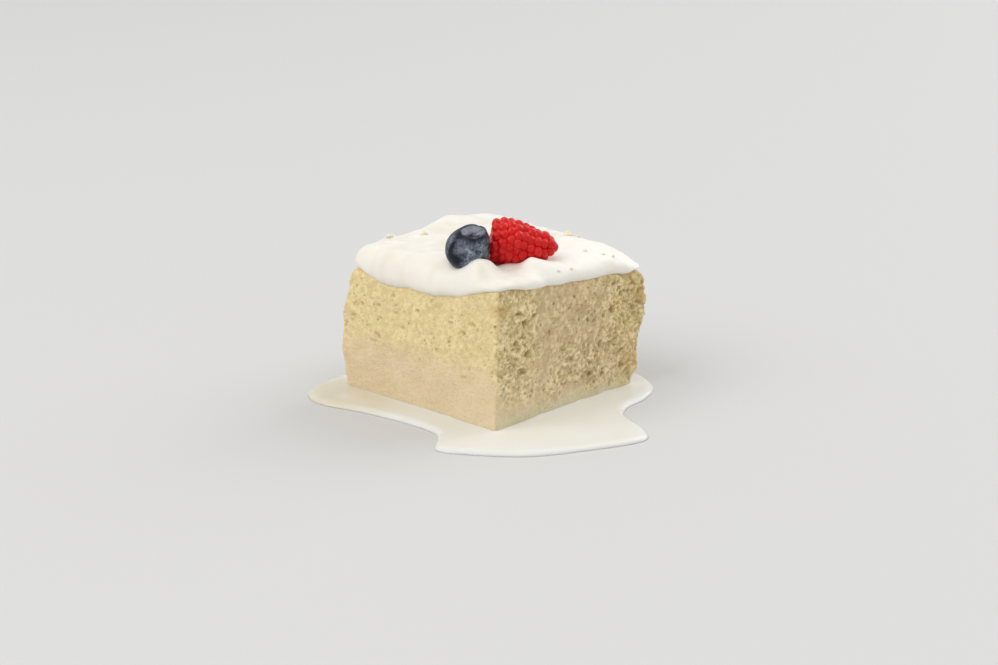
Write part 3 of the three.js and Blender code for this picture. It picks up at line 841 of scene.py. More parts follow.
# Where the crumb opens: beside the upright edges, in shares of the half side, and low down, in shares of the
# height. Milk closes it again, and it varies in patches.
OPEN_EDGE = (0.3, 0.65)
OPEN_FOOT = (0.6, 0.35)
OPEN_FOOT_SHARE = 0.6
SOAK_CLOSES = 0.85
OPEN_PATCHES = (7 * MM, 0.45)

# The three sizes of pores: how full of them open crumb is, and what sets their places apart. All are
# flattened, and their depth is raised to a power below 1, which steepens their walls.
PORE_FULLNESS = (0.16, 0.45, 0.75)
PORE_SALTS = (7, 23, 41)
PORE_FLATNESS = 1.3
PORE_STEEPNESS = 0.7

# The crumb's pattern is bent by lumps: their pitch, how far they bend it, and where each axis reads them.
CRUMB_BEND = (1.7 * MM, 0.5 * MM, np.array([3, 40, 90]) * MM)

# Finer grains lie among the grains: their pitch and height against the grains, and where they are read.
# Closed crumb keeps some of its grain.
FINE_GRAIN_SIZE = 0.55
FINE_GRAIN_SHARE = 0.7
FINE_GRAIN_SHIFT = 53 * MM
CLOSE_GRAIN = 0.3

# A point lies on a side where its share of the half side is past this.
ON_SIDE = 0.9

# The depth of the -Y side's plainest pores against those of the +X side.
FAINT_DEPTH = 0.4

# Torn crumb: from where on a side and up its height it is torn, and the pitch and height of its shreds.
TORN_EDGE = (0.8, 1.0)
TORN_HEIGHT = (0.3, 0.7)
SHREDS = ((2.4 * MM, 1.0), (1.1 * MM, 0.7))

# The fine relief fades in above the foot and from the top's edge outwards.
RELIEF_FOOT = (0.0, 2.5 * MM)
RELIEF_TOP = (0.85, 0.95)

# Painted shade and highlight: how dark each kind of pore is painted, how much milk lightens the faint ones,
# and which grains get painted shade in the gaps between them and painted highlight on their crests.
FAINT_SHADE = 0.7
FAINT_SOAKED = 0.6
PORE_SHADE = 0.8
CELL_SHADE = 0.6
GAP_SHADE = 0.35
GAP_GRAINS = (0.15, 0.75)
CREST_GRAINS = (-0.3, 0.8)

# From where to where damp crumb comes in, as shares of the height, and wet crumb.
DAMP_HEIGHT = (0.55, 0.25)
WET_HEIGHT = (9 * MM, 3 * MM)

# Baked crumb: a wandering line along the top, broken up in patches, the upper part and the whole of the
# baked edge, each with its share and its power, and the browned patch.
CRUST_HEIGHT = (0.965, 0.995)
CRUST_WANDER = (3 * MM, 0.02)
CRUST_SHARE = 0.5
CRUST_COVER = 0.35
CRUST_PATCH = 5 * MM
BAKED_HEIGHT = (0.6, 0.9)
BAKED_UPPER = (0.7, 4)
BAKED_EDGE = (0.55, 6)
BROWNED_SHARE = 0.6
BROWNED_PORES = 0.5


def sponge_plan(u, v, up):
    """Plan position: the corners' feet and heads blended over the square, with the belly as a half sine."""
    foot = blend(u, v, CORNER_FEET)
    head = blend(u, v, CORNER_HEADS)
    belly = blend(u, v, CORNER_SIGNS * CORNER_BELLIES[:, None])
    return foot + (head - foot) * up[..., None] + belly * np.sin(np.pi * up)[..., None]


def sponge_height(u, v, dome):
    """Height of the sponge's top: the corners' heights blended, plus a dome (1 - u²)(1 - v²)."""
    return blend(u, v, CORNER_HEIGHTS) + dome * (1 - u * u) * (1 - v * v)


def sponge_rings(s):
    """Shares out and up of each ring: base, even courses up the sides, quarter-round rim, rings on top."""
    rim_up = s.rim / CORNER_HEIGHTS.mean()
    rim_out = s.rim / s.half
    sides = np.linspace(0, 1 - rim_up, s.courses + 1)
    bend = np.linspace(0, np.pi / 2, RIM_STEPS)[1:]
    out = np.concatenate([[0], np.ones_like(sides), 1 - rim_out * (1 - np.cos(bend)), TOP_RINGS, [0]])
    up = np.concatenate([[0], sides, 1 - rim_up * (1 - np.sin(bend)), np.ones_like(TOP_RINGS), [1]])
    return out[:, None], up[:, None]


def sponge_crumb(points, s):
    """Broad lumps with crags on them, as in the solid."""
    return lumps(points, s.lump_pitch) + s.crag_share * lumps(points + CRAG_SHIFT, s.crag_pitch)


def sponge_soak(u, v, height, points):
    """How soaked the crumb is: eased over a band about the wandering line that the milk has risen to."""
    level = by_side(u, v, SIDE_SOAK) - v * by_side(u, v, SIDE_SOAK_FALL)
    above = height - level - layered(points, *SOAK_WANDER)
    return 1 - ramp(above / by_side(u, v, SIDE_SOAK_BAND), -0.5, 0.5)


def sponge_openness(u, v, up, soak, points):
    """How open the crumb is by side, closed where soaked, most open near the edges and low down, and where
    the edges are."""
    edge = ramp(np.minimum(np.abs(u), np.abs(v)), *OPEN_EDGE)
    low = OPEN_FOOT_SHARE * ramp(up, *OPEN_FOOT)
    uneven = by_side(u, v, SIDE_UNEVENNESS) * (1 - np.maximum(edge, low))
    openness = by_side(u, v, SIDE_OPENNESS) * (1 - uneven) * (1 - SOAK_CLOSES * soak)
    openness = openness * (1 + blend(u, v, CORNER_OPENNESS))
    return openness * (1 + layered(points, OPEN_PATCHES)), edge


def sponge_pores(points, openness, s):
    """How deep each point lies in pores of three sizes, the largest first, all a little wider than tall."""
    wide = points * np.array([1, 1, PORE_FLATNESS]) @ TILT
    pitches = (s.hole_pitch, s.pore_pitch, s.cell_pitch)
    return [
        hollows(wide, pitch, fullness * openness, salt) ** PORE_STEEPNESS
        for pitch, fullness, salt in zip(pitches, PORE_FULLNESS, PORE_SALTS)
    ]


def sponge_grains(bent, s):
    """Grains of the crumb, as lumps with finer lumps among them."""
    tilted = bent @ TILT
    fine = lumps(tilted + FINE_GRAIN_SHIFT, FINE_GRAIN_SIZE * s.grain_pitch)
    return lumps(tilted, s.grain_pitch) + FINE_GRAIN_SHARE * fine


def sponge_shreds(u, v, up, points):
    """Torn crumb along the upper part of the upright edges: lumps of two sizes, by how torn each edge is."""
    beside = np.minimum(np.abs(u), np.abs(v))
    torn = blend(u, v, CORNER_TATTER) * ramp(beside, *TORN_EDGE) * ramp(up, *TORN_HEIGHT)
    return torn * layered(points @ TILT, *SHREDS)


def sponge_crust(u, v, up, points):
    """How baked the crumb is: the greatest of a line along the top and of powers of the baked edge, broken up
    by lumps."""
    line = CRUST_SHARE * ramp(up + layered(points, CRUST_WANDER), *CRUST_HEIGHT)
    baked = blend(u, v, CORNER_BAKING)
    upper_share, upper_power = BAKED_UPPER
    edge_share, edge_power = BAKED_EDGE
    upper = upper_share * baked**upper_power * ramp(up, *BAKED_HEIGHT)
    edge = edge_share * baked**edge_power
    return np.maximum(line, np.maximum(upper, edge)) * smooth(CRUST_COVER + lumps(points, CRUST_PATCH))


def sponge_surface(s):
    """The block between its corners, pushed in and out by the crumb and its pores, and its marks."""
    out, up = sponge_rings(s)
    edge_u, edge_v = square_point(full_turn(s.around)[None, :], s.squareness)
    u, v = edge_u * out, edge_v * out
    up = np.broadcast_to(up, u.shape)
    height = up * sponge_height(u, v, s.dome)
    points = np.concatenate([sponge_plan(u, v, up), height[..., None]], -1)
    soak = sponge_soak(u, v, height, points)
    openness, edge = sponge_openness(u, v, up, soak, points)

    bent = points + drift(points @ TILT, *CRUMB_BEND)
    grains = sponge_grains(bent, s)
    holes, pores, cells = sponge_pores(bent, openness, s)
    # The -Y side's plainest pores are shallow dents, darkened as painted shade.
    faint = ovals(bent[..., 0], bent[..., 2], FRONT_PORES) * (v < -ON_SIDE)
    plain = ovals(bent[..., 1], bent[..., 2], RIGHT_PORES) ** PORE_STEEPNESS * (u > ON_SIDE)
    holes = np.maximum(holes, plain)

    fade = smooth(up / s.foot_band) * smooth(out)
    dent = s.hole_depth * (holes + FAINT_DEPTH * faint) + s.pore_depth * pores + s.cell_depth * cells
    rough = s.grain * (CLOSE_GRAIN + openness) * grains + s.tatter * sponge_shreds(u, v, up, points)
    shallow = ramp(height, *RELIEF_FOOT) * ramp(out, *RELIEF_TOP)
    push = blend(u, v, CORNER_ROUGHNESS) * fade * sponge_crumb(points, s) + shallow * (rough - dent)
    away = np.stack([by_side(u, v, SIDE_FACING[:, 0]), by_side(u, v, SIDE_FACING[:, 1])], -1)
    points[..., :2] += unit(away) * push[..., None]

    open_share = np.clip(openness, 0, 1)
    # Painted shade in the pores and in the gaps between grains, painted highlight on the raised grains.
    painted_gap_shade = GAP_SHADE * ramp(-grains, *GAP_GRAINS) * open_share
    faint = FAINT_SHADE * faint * (1 - FAINT_SOAKED * soak)
    painted_pore_shade = np.clip(holes + faint + PORE_SHADE * pores + CELL_SHADE * cells + painted_gap_shade, 0, 1) * shallow
    crest_highlight = ramp(grains, *CREST_GRAINS) * (1 - painted_pore_shade) * open_share * shallow
    browned = BROWNED_SHARE * ovals(bent[..., 1], height, BROWNED) * (u > ON_SIDE)
    browned = browned * (1 - BROWNED_PORES * painted_pore_shade)
    damp = by_side(u, v, SIDE_DAMPNESS) * ramp(up, *DAMP_HEIGHT)
    return points, {
        "painted_pore_shade": painted_pore_shade,
        "crest_highlight": crest_highlight,
        "open": open_share * shallow,
        "crust": np.maximum(sponge_crust(u, v, up, points), browned),
        # The darker close crumb, most on +X and none on -Y, is partly painted shade.
        "close": by_side(u, v, SIDE_CLOSENESS) * (1 - edge),
        "soak": np.maximum(soak, damp),
        "wet": by_side(u, v, SIDE_WETNESS) * ramp(height, *WET_HEIGHT),
    }


# Cream

# Where the broad dollops, the fine ones and the rough cream are read, the fine ones' size and rise against
# the broad ones, and from where to where u + v brings in the rough cream.
DOLLOP_SHIFTS = np.array([13, 29, 41]) * MM
FINE_DOLLOP_SIZE = 0.45
FINE_DOLLOP_RISE = 0.35
RAGGED_CORNER = (1.1, 1.7)

# The width of the collars, and the berries' half widths where they enter the cream. The raspberry's narrows.
COLLAR_WIDTH = 1.3 * MM
BLUEBERRY_WAIST = 5.9 * MM
RASPBERRY_WAIST = 6.6 * MM
RASPBERRY_NARROWING = 3.6 * MM

# The lip: its rings, its wobble by lumps of two sizes, how far that carries it out and down, its small bulges
# and the share of the fall over which they fade in and out.
TUCK_STEPS = 12
SHOULDER_STEPS = 28
LIP_WOBBLE = ((5 * MM, 1.0), (2.3 * MM, 0.5))
WOBBLE_OUT = 0.3 * MM
WOBBLE_DOWN = 0.6 * MM
LIP_BULGE = (3.6 * MM, 0.3 * MM)
BULGE_FADE = 0.25

# The dollops' height from which cream counts as a fold to where it is one, for the painted shade in the
# folds, and where the painted light on the +X side begins.
FOLD_HEIGHT = (0.405 * MM, -0.495 * MM)
PAINTED_LIGHT_ACROSS = (10 * MM, 30 * MM)
PAINTED_LIGHT_ALONG = (-28 * MM, -12 * MM)


def cream_dollops(u, v, flat, s):
    """Height of the dollops, as lumps of two sizes, and of the rough cream at the +X +Y corner."""
    at_broad, at_fine, at_ragged = DOLLOP_SHIFTS
    fine_pitch = FINE_DOLLOP_SIZE * s.dollop_pitch
    broad = s.dollop_rise * lumps(flat + at_broad, s.dollop_pitch)
    fine = FINE_DOLLOP_RISE * s.dollop_rise * lumps(flat + at_fine, fine_pitch)
    return broad + fine + s.ragged * ramp(u + v, *RAGGED_CORNER) * lumps(flat + at_ragged, fine_pitch)


def cream_collar(plan, s):
    """A low ring of cream pushed up round each berry, Gaussian in the distance from where it enters."""
    from_blueberry = np.linalg.norm(plan - BLUEBERRY_CENTRE[:2], axis=-1)
    root, axis = RASPBERRY_ROOT[:2], RASPBERRY_AXIS[:2]
    along = np.clip(((plan - root) @ axis) / (axis @ axis), 0, 1)
    from_raspberry = np.linalg.norm(plan - root - along[..., None] * axis, axis=-1)
    waist = RASPBERRY_WAIST - RASPBERRY_NARROWING * along**2
    ring = bell(from_blueberry - BLUEBERRY_WAIST, COLLAR_WIDTH)
    return s.collar * np.maximum(ring, bell(from_raspberry - waist, COLLAR_WIDTH))


def cream_level(u, v, plan, flat, dollops, s):
    """Height of the cream's top: corner levels, a slight dome, soft lumps, dollops and Gaussian swells."""
    level = blend(u, v, CREAM_LEVELS) + s.dome * (1 - u * u) * (1 - v * v)
    level = level + s.lump_rise * lumps(flat, s.lump_pitch) + dollops
    for across, along, rise, spread in CREAM_SWELLS:
        level = level + rise * bell(np.hypot(plan[..., 0] - across, plan[..., 1] - along), spread)
    return level + cream_collar(plan, s)


def cream_rings(s):
    """Reach, tuck, shoulder and drop of each ring: turned-in lip, rounded shoulder, rings over the top."""
    tuck_bend = np.linspace(np.pi / 2, 0, TUCK_STEPS)[:-1]
    bend = np.linspace(np.pi / 2, 0, SHOULDER_STEPS)
    top = np.linspace(1, 0, s.rings + 1)[1:]
    ones, noughts = np.ones_like, np.zeros_like
    reach = np.concatenate([[0], ones(tuck_bend), ones(bend), top])
    tuck = np.concatenate([[0], 1 - np.cos(tuck_bend), noughts(bend), noughts(top)])
    shoulder = np.concatenate([[0], noughts(tuck_bend), 1 - np.sin(bend), ones(top)])
    lip = s.shoulder_drop + (1 - s.shoulder_drop) * np.sin(tuck_bend)
    drop = np.concatenate([[1], lip, s.shoulder_drop * (1 - np.cos(bend)), noughts(top)])
    return [row[:, None] for row in (reach, tuck, shoulder, drop)]


def cream_surface(s, sponge):
    """The coat: a rounded square, its rings turned in under the lip, over the shoulder and closed on top."""
    reach, tuck, shoulder, drop = cream_rings(s)
    first_corner = -np.pi / 4
    angle = full_turn(s.around, first_corner)[None, :]
    edge_u, edge_v = square_point(angle, s.squareness)
    place = (angle - first_corner) / TURN * len(CREAM_OUT)
    wobble = layered(round_grid(sponge.half, angle, 0), *LIP_WOBBLE)
    out = closed_curve(CREAM_OUT, place) + WOBBLE_OUT * wobble
    hang = closed_curve(CREAM_HANG, place) + WOBBLE_DOWN * wobble
    inset = shoulder * s.shoulder + tuck * (s.tuck + np.maximum(out, 0))
    scale = reach * (1 + (out - inset) / sponge.half)
    u, v = edge_u * scale, edge_v * scale
    plan = sponge_plan(u, v, np.ones_like(u))
    flat = np.concatenate([plan, np.zeros_like(plan[..., :1])], -1)
    dollops = cream_dollops(u, v, flat, s)
    level = cream_level(u, v, plan, flat, dollops, s)
    lowest = sponge_height(edge_u, edge_v, sponge.dome) - hang
    height = level + (lowest - level) * drop
    points = np.concatenate([plan, height[..., None]], -1)
    bulge = layered(points, LIP_BULGE) * smooth(reach)
    points[..., 2] += bulge * ramp(drop, 0, BULGE_FADE) * ramp(1 - drop, 0, BULGE_FADE)
    points[0] = (0, 0, CORNER_HEIGHTS.mean() + sponge.dome - s.bury)
    # Painted light on the coat's +X side, away from the key light.
    thick = ramp(points[..., 0], *PAINTED_LIGHT_ACROSS) * ramp(points[..., 1], *PAINTED_LIGHT_ALONG)
    # Painted shade in the dollops' folds.
    return points, {"fold_shade": ramp(dollops, *FOLD_HEIGHT), "thick": thick}


# Blueberry

# How far the rings crowd towards the calyx: the share of a squared walk from pole to pole in an even one.
RING_CROWDING = 0.55

# The lobes of the calyx's ring, and the power that makes the dips between them narrow.
CALYX_LOBES = 5
LOBE_POWER = 0.6

# The calyx, in shares of its ring's radius: where it fades out, its style, and where the painted shade on its
# shaded side begins.
CALYX_FADE = (0.72, 0.92)
STYLE_WIDTH = 0.3
SHADED_SIDE = (0.05, 0.5)
SHADED_SHARE = 0.9
CALYX_BLOTS = ((1.4 * MM, 0.45), (0.7 * MM, 0.3))

# The bloom: its amount, its lumps of two sizes, and how lumps bend the patches' outlines.
BLOOM_AMOUNT = 0.34
BLOOM_LUMPS = ((2.3 * MM, 0.25), (1.1 * MM, 0.2))
BLOOM_BEND = (2.8 * MM, 1.8 * MM, np.array([2, 31, 67]) * MM)

# The rubbed rim, and the gaps between the lobes, where the lost bloom is painted shade: radius against the
# calyx's ring, width, and bloom lost there.
RUBBED_RIM = (1.05, 0.75 * MM, 0.9)
LOBE_GAP_SHADE = (1.15, 0.9 * MM, 1.8)


def blueberry_bloom_light_and_shade(points, out, upper, lobes, s):
    """The amount of bloom: lumps and patches, one a painted shadow and one partly a painted highlight, less
    the rubbed rim and the painted shade between the lobes.

    Each patch is Gaussian in the angle from its middle, whose square is close to 2 - 2 cos(angle).
    """
    facing = unit(points + drift(points, *BLOOM_BEND))
    bloom_light_and_shade = BLOOM_AMOUNT + layered(points, *BLOOM_LUMPS)
    # The dark patch towards the raspberry is a painted shadow; the bright one facing up and back is partly a
    # painted highlight.
    for *towards, width, gain in BLUEBERRY_BLOOM_AND_LIGHT_PATCHES:
        bloom_light_and_shade = bloom_light_and_shade + gain * np.exp(-2 * (1 - facing @ unit(np.array(towards))) / width**2)
    rim_radius, rim_width, rim_loss = RUBBED_RIM
    gap_radius, gap_width, gap_loss = LOBE_GAP_SHADE
    rim = upper * bell(out - rim_radius * s.crown_radius, rim_width)
    # Painted shade just outside the ring, between its lobes.
    painted_gap_shade = upper * bell(out - gap_radius * s.crown_radius, gap_width) * (1 - lobes)
    return np.clip(bloom_light_and_shade * (1 - rim_loss * rim) * (1 - np.clip(gap_loss * painted_gap_shade, 0, 1)), 0, 1)


def blueberry_surface(s):
    """A ball with a squarer upper half that leans aside, and a ridge of lobes round a dimple at its pole.

    In the upper half the sine and cosine that make the ball are raised to the fullness, and each point is
    carried aside by the square of its height. The ridge is Gaussian in the distance from the calyx's circle,
    and its height goes with a power of |cos(lobes/2 angle)|.
    """
    part = np.linspace(1, 0, s.rings + 1)[:, None]
    polar = np.pi * (RING_CROWDING * part * part + (1 - RING_CROWDING) * part)
    angle = full_turn(s.around)[None, :]
    upper = polar < np.pi / 2
    out = s.radius * np.sin(polar) ** np.where(upper, s.fullness, 1)
    dome = np.where(upper, s.tall * np.abs(np.cos(polar)) ** s.fullness, s.deep * np.cos(polar))
    lobes = 1 - s.lobe_depth + s.lobe_depth * np.abs(np.cos(CALYX_LOBES / 2 * angle)) ** LOBE_POWER
    ridge = upper * bell(out - s.crown_radius, s.crown_width)
    dimple = upper * s.hollow * (1 - smooth(out / s.crown_radius))
    local = round_grid(out, angle, dome + s.crown_rise * ridge * lobes - dimple)
    local[..., :2] += BLUEBERRY_LEAN * (np.clip(local[..., 2:], 0, None) / s.tall) ** 2
    points = turned(local, BLUEBERRY_CROWN)

    crown_share = out / s.crown_radius
    calyx = np.broadcast_to(upper * (1 - ramp(crown_share, *CALYX_FADE)), local.shape[:2])
    style = upper * bell(crown_share, STYLE_WIDTH)
    # Painted shade on the calyx's shaded side, laid on with the style and the blots.
    shaded = SHADED_SHARE * ramp(local[..., :2] @ BLUEBERRY_SHADED / s.crown_radius, *SHADED_SIDE)
    stain_and_shade = np.clip(style + shaded + layered(points, *CALYX_BLOTS), 0, 1)
    bloom_light_and_shade = blueberry_bloom_light_and_shade(points, out, upper, lobes, s)
    return points + BLUEBERRY_CENTRE, {"calyx": calyx, "stain_and_shade": stain_and_shade, "bloom_light_and_shade": bloom_light_and_shade}


# Raspberry

# Steps of the walk along the side that the rows are measured on, and how far the first row leans back.
WALK_STEPS = 400
FIRST_ROW_LEAN = 0.35

# The ball that beads and crumbs are made from.
BALL_RINGS = 12
BALL_AROUND = 18

# A bead's stretch round the berry, along it and outwards, what chance adds to each, and its own lumps.
BEAD_STRETCH = np.array([0.97, 1.04, 1.04])
BEAD_CHANCE = np.array([0.06, -0.08, 0.05])
BEAD_LUMPS = (2.2 * MM, 0.03)

# The core: how far short of the point it ends, in beads, its rings, the recess's rim and how its wall rises.
CORE_SHORT = 0.6
CORE_STEPS = 41
CORE_AROUND = 72
RECESS_STEPS = 9
RECESS_RIM = 0.3 * MM
RECESS_FLOOR = 0.55
WALL_START = 0.2
WALL_POWER = 1.5

# The hairs: the share of beads with one, length against the setting, how deep it is rooted and how far it
# bends, in lengths, its thickness and taper, and its rings and sides.
HAIR_SHARE = 0.6
HAIR_SHORTEST = 0.6
HAIR_SPREAD = 0.6
HAIR_ROOTED = 0.12
HAIR_BEND = 0.45
HAIR_THICKNESS = 0.04 * MM
HAIR_TAPER = 0.75
HAIR_RINGS = 6
HAIR_SIDES = 3


def raspberry_girth(along, s):
    """Radius through the beads' middles: a sine rise to the widest place, then a power fall to the tip."""
    rise = np.sin(np.clip(along / s.widest, 0, 1) * np.pi / 2)
    rising = s.root_girth + (s.girth - s.root_girth) * rise
    fallen = np.clip((along - s.widest) / (RASPBERRY_LENGTH - s.bead - s.widest), 0, 1)
    return np.where(along < s.widest, rising, s.girth * (1 - fallen**s.taper) ** s.tip_round)


def raspberry_beads(s):
    """Place along, distance out, angle, radius and lean of each bead.

    The rows stand at even steps over the curve of the beads' middles, each half a bead on from the last. The
    lean is the angle between the curve's normal and the straight way out from the axis.
    """
    walk = s.bead + (RASPBERRY_LENGTH - 2 * s.bead) * np.sin(np.linspace(0, np.pi / 2, WALK_STEPS))
    side = np.stack([walk, raspberry_girth(walk, s)], -1)
    steps = np.diff(side, axis=0)
    gone = np.concatenate([[0], np.cumsum(np.linalg.norm(steps, axis=-1))])
    leans = np.arctan2(-steps[:, 1], steps[:, 0])
    rows = round(gone[-1] / s.row)
    beads = []
    for row, place in enumerate(np.linspace(0, gone[-1], rows + 1)):
        along, out = np.interp(place, gone, side[:, 0]), np.interp(place, gone, side[:, 1])
        lean = np.interp(place, gone[1:], leans) - FIRST_ROW_LEAN * (row == 0)
        total = max(1, round(TURN * out / s.pitch))
        index = np.arange(total)
        chance = 2 * scatter(row, index, 3) - 1
        angle = TURN * (index + (row % 2) / 2 + s.bead_drift * chance) / total
        size = s.bead * (1 + s.bead_variation * chance)
        place_along = along + s.bead_stray * (2 * scatter(row, index, 11) - 1)
        beads.append(np.stack([place_along, np.full(total, out), angle, size, np.full(total, lean)], -1))
    return np.vstack(beads)


def ball():
    """A unit ball: rings of latitude from pole to pole."""
    polar = np.linspace(np.pi, 0, BALL_RINGS + 1)[:, None]
    return round_grid(np.sin(polar), full_turn(BALL_AROUND)[None, :], np.cos(polar))


def bead_axes(angle, lean):
    """Right-handed axes of each bead: round the berry, along its side, and outwards by its lean."""
    radial = round_grid(1, angle, 0)
    axis = np.array([0.0, 0.0, 1.0])
    outward = np.cos(lean)[:, None] * radial + np.sin(lean)[:, None] * axis
    around = np.cross(axis, radial)
    return np.stack([around, np.cross(outward, around), outward], 1)


def raspberry_bead_surface(s):
    """Balls at the beads' places, a little long outwards, each uneven in its own way, with each bead's tone,
    tip and outward direction."""
    along, out, angle, size, lean = raspberry_beads(s).T
    vertices, faces = skin(ball())
    chance = scatter(np.arange(len(size)), 5, 9)
    stretch = BEAD_STRETCH + BEAD_CHANCE * chance[:, None]
    local = vertices[None] * (stretch * size[:, None])[:, None]
    axes = bead_axes(angle, lean)
    middles = round_grid(out, angle, along)
    offset = np.einsum("bvk,bkx->bvx", local, axes)
    swell = 1 + layered(middles[:, None] + offset, BEAD_LUMPS)
    placed = turned(middles[:, None] + offset * swell[..., None], RASPBERRY_AXIS) + RASPBERRY_ROOT
    tips = middles + axes[:, 2] * (size * BEAD_STRETCH[2])[:, None]
    tone = np.repeat(chance, len(vertices))
    tips = turned(tips, RASPBERRY_AXIS) + RASPBERRY_ROOT
    return *copies(faces, placed), tone, tips, turned(axes[:, 2], RASPBERRY_AXIS)


def raspberry_core_surface(s):
    """The berry inside its beads: up out of the recess, round the wide end and along to the point."""
    end = RASPBERRY_LENGTH - CORE_SHORT * s.bead
    side = end * np.sin(np.linspace(0, np.pi / 2, CORE_STEPS))[1:-1]
    recess = np.linspace(0, 1, RECESS_STEPS)
    risen = np.clip((recess - WALL_START) / (1 - WALL_START), 0, 1) ** WALL_POWER
    wall_out = s.recess * np.sqrt(np.minimum(1, recess / RECESS_FLOOR))
    wall_along = s.recess_depth + (RECESS_RIM - s.recess_depth) * risen
    mouth = (s.recess + s.core * s.root_girth) / 2
    out = np.concatenate([wall_out, [mouth], s.core * raspberry_girth(side, s), [0]])[:, None]
    along = np.concatenate([wall_along, [0], side, [end]])[:, None]
    local = round_grid(out, full_turn(CORE_AROUND)[None, :], along)
    return turned(local, RASPBERRY_AXIS) + RASPBERRY_ROOT


def hair_surface(s, tips, outward):
    """A thin bent spike on each chosen bead: a tapering circle carried along a parabola."""
    chosen = scatter(np.arange(len(tips)), 2, 8) < HAIR_SHARE
    tips, outward = tips[chosen], outward[chosen]
    index = np.arange(len(tips))
    aside = np.stack([scatter(index, step, 4) - 0.5 for step in (1, 2, 3)], -1)
    side = unit(np.cross(outward, aside))
    other = np.cross(outward, side)
    along = np.linspace(0, 1, HAIR_RINGS)
    long = s.hair * (HAIR_SHORTEST + HAIR_SPREAD * scatter(index, 6, 6))[:, None]
    path = tips[:, None] + outward[:, None] * (long * (along - HAIR_ROOTED))[..., None]
    path = path + side[:, None] * (long * HAIR_BEND * along**2)[..., None]
    thick = HAIR_THICKNESS * (1 - HAIR_TAPER * along)
    thick[0] = thick[-1] = 0
    angle = full_turn(HAIR_SIDES)[None, :, None]
    circle = np.cos(angle) * other[:, None] + np.sin(angle) * side[:, None]
    hairs = path[:, :, None] + circle[:, None] * thick[None, :, None, None]
    _, faces = skin(hairs[0])
    return copies(faces, np.stack([skin_order(hair) for hair in hairs]))


# Milk

# The bank's places round its bend, the rings over the pool, and the power that crowds them at the sponge.
BANK_STEPS = 10
POOL_RINGS = 60
POOL_CROWDING = 1.4

# How soon the climb at the foot falls off, in its widths, and the pitch and height of the ripple.
CLIMB_FALL = 0.4
POOL_RIPPLE = (13 * MM, 0.05 * MM)

# Thin milk at the left of the front, partly painted shade: where it begins and is full, its amount, and how
# patches break it up.
THIN_ACROSS = (12 * MM, -24 * MM)
THIN_ALONG = (-28 * MM, -36 * MM)
THIN_AMOUNT = 0.75
THIN_COVER = 0.75
THIN_PATCH = 9 * MM

# Painted light along the sponge's +X foot, where the sponge shades the milk: its width, and where it begins
# and is full.
FOOT_LIGHT_WIDTH = 4.5 * MM
FOOT_LIGHT_ACROSS = (25 * MM, 35 * MM)


def milk_surface(s, sponge):
    """A closed ring: a profile of flat base, quarter-round bank, level top and climbing foot, taken round."""
    edge = closed_curve(MILK_EDGE, full_turn(s.around) / TURN * len(MILK_EDGE))
    direction = unit(edge)
    reach = (np.abs(direction) ** sponge.squareness).sum(-1, keepdims=True) ** (-1 / sponge.squareness)
    foot = direction * reach * (sponge.half - s.inside)
    along = np.roll(edge, -1, 0) - np.roll(edge, 1, 0)
    inward = unit(unit(np.stack([-along[:, 1], along[:, 0]], -1)) - direction)
    bend = np.linspace(0, np.pi / 2, BANK_STEPS)[:, None]
    inwards = 1 - np.linspace(1, 0, POOL_RINGS)[1:, None] ** POOL_CROWDING
    bank = edge + inward * (s.bank * (1 - np.cos(bend)))[..., None]
    top = bank[-1] + (foot - bank[-1]) * inwards[..., None]
    plan = np.concatenate([foot[None], bank, top])
    beside = np.clip(np.linalg.norm(plan - foot, axis=-1) - s.inside, 0, None)
    climb = s.climb * np.exp(-beside[-len(top):] / (CLIMB_FALL * s.climb_width))
    rise = np.broadcast_to(s.depth * np.sin(bend), bank.shape[:2])
    level = np.vstack([np.zeros((1, s.around)), rise, s.depth + climb])
    ripple = layered(np.concatenate([plan, np.zeros_like(plan[..., :1])], -1), POOL_RIPPLE)
    level = level + ripple * smooth(level / s.depth)
    points = np.concatenate([plan, level[..., None]], -1)
    # Thin milk at the left of the front, darker and yellower, partly painted shade.
    left = ramp(plan[..., 0], *THIN_ACROSS) * ramp(plan[..., 1], *THIN_ALONG)
    thin_and_shaded = THIN_AMOUNT * left * smooth(THIN_COVER + lumps(points, THIN_PATCH))
    # Painted light along the sponge's +X foot, where the sponge shades the milk.
    foot_light = np.exp(-beside / FOOT_LIGHT_WIDTH) * ramp(plan[..., 0], *FOOT_LIGHT_ACROSS)
    faces = ring_faces(len(points), s.around, closed=True)
    return points.reshape(-1, 3), [faces], {"thin_and_shaded": thin_and_shaded, "foot_light": foot_light}


# Crumbs

# A crumb's least stretch in plan, what chance adds to it, its flatness, how far its middle stands above the
# cream in radii, how far apart the crumbs read their lumps, and those lumps, in radii.
CRUMB_STRETCH = 0.8
CRUMB_SPREAD = 0.5
CRUMB_FLATNESS = 0.7
CRUMB_STANDS = 0.2
CRUMB_SHIFT = 7.3
CRUMB_LUMPS = ((0.8, 0.35), (0.4, 0.2))

# The size from which a crumb is as pale as the largest, and the share of the height that counts as upper.
PALE_SIZE = 0.5
UPPER_SHARE = 0.8


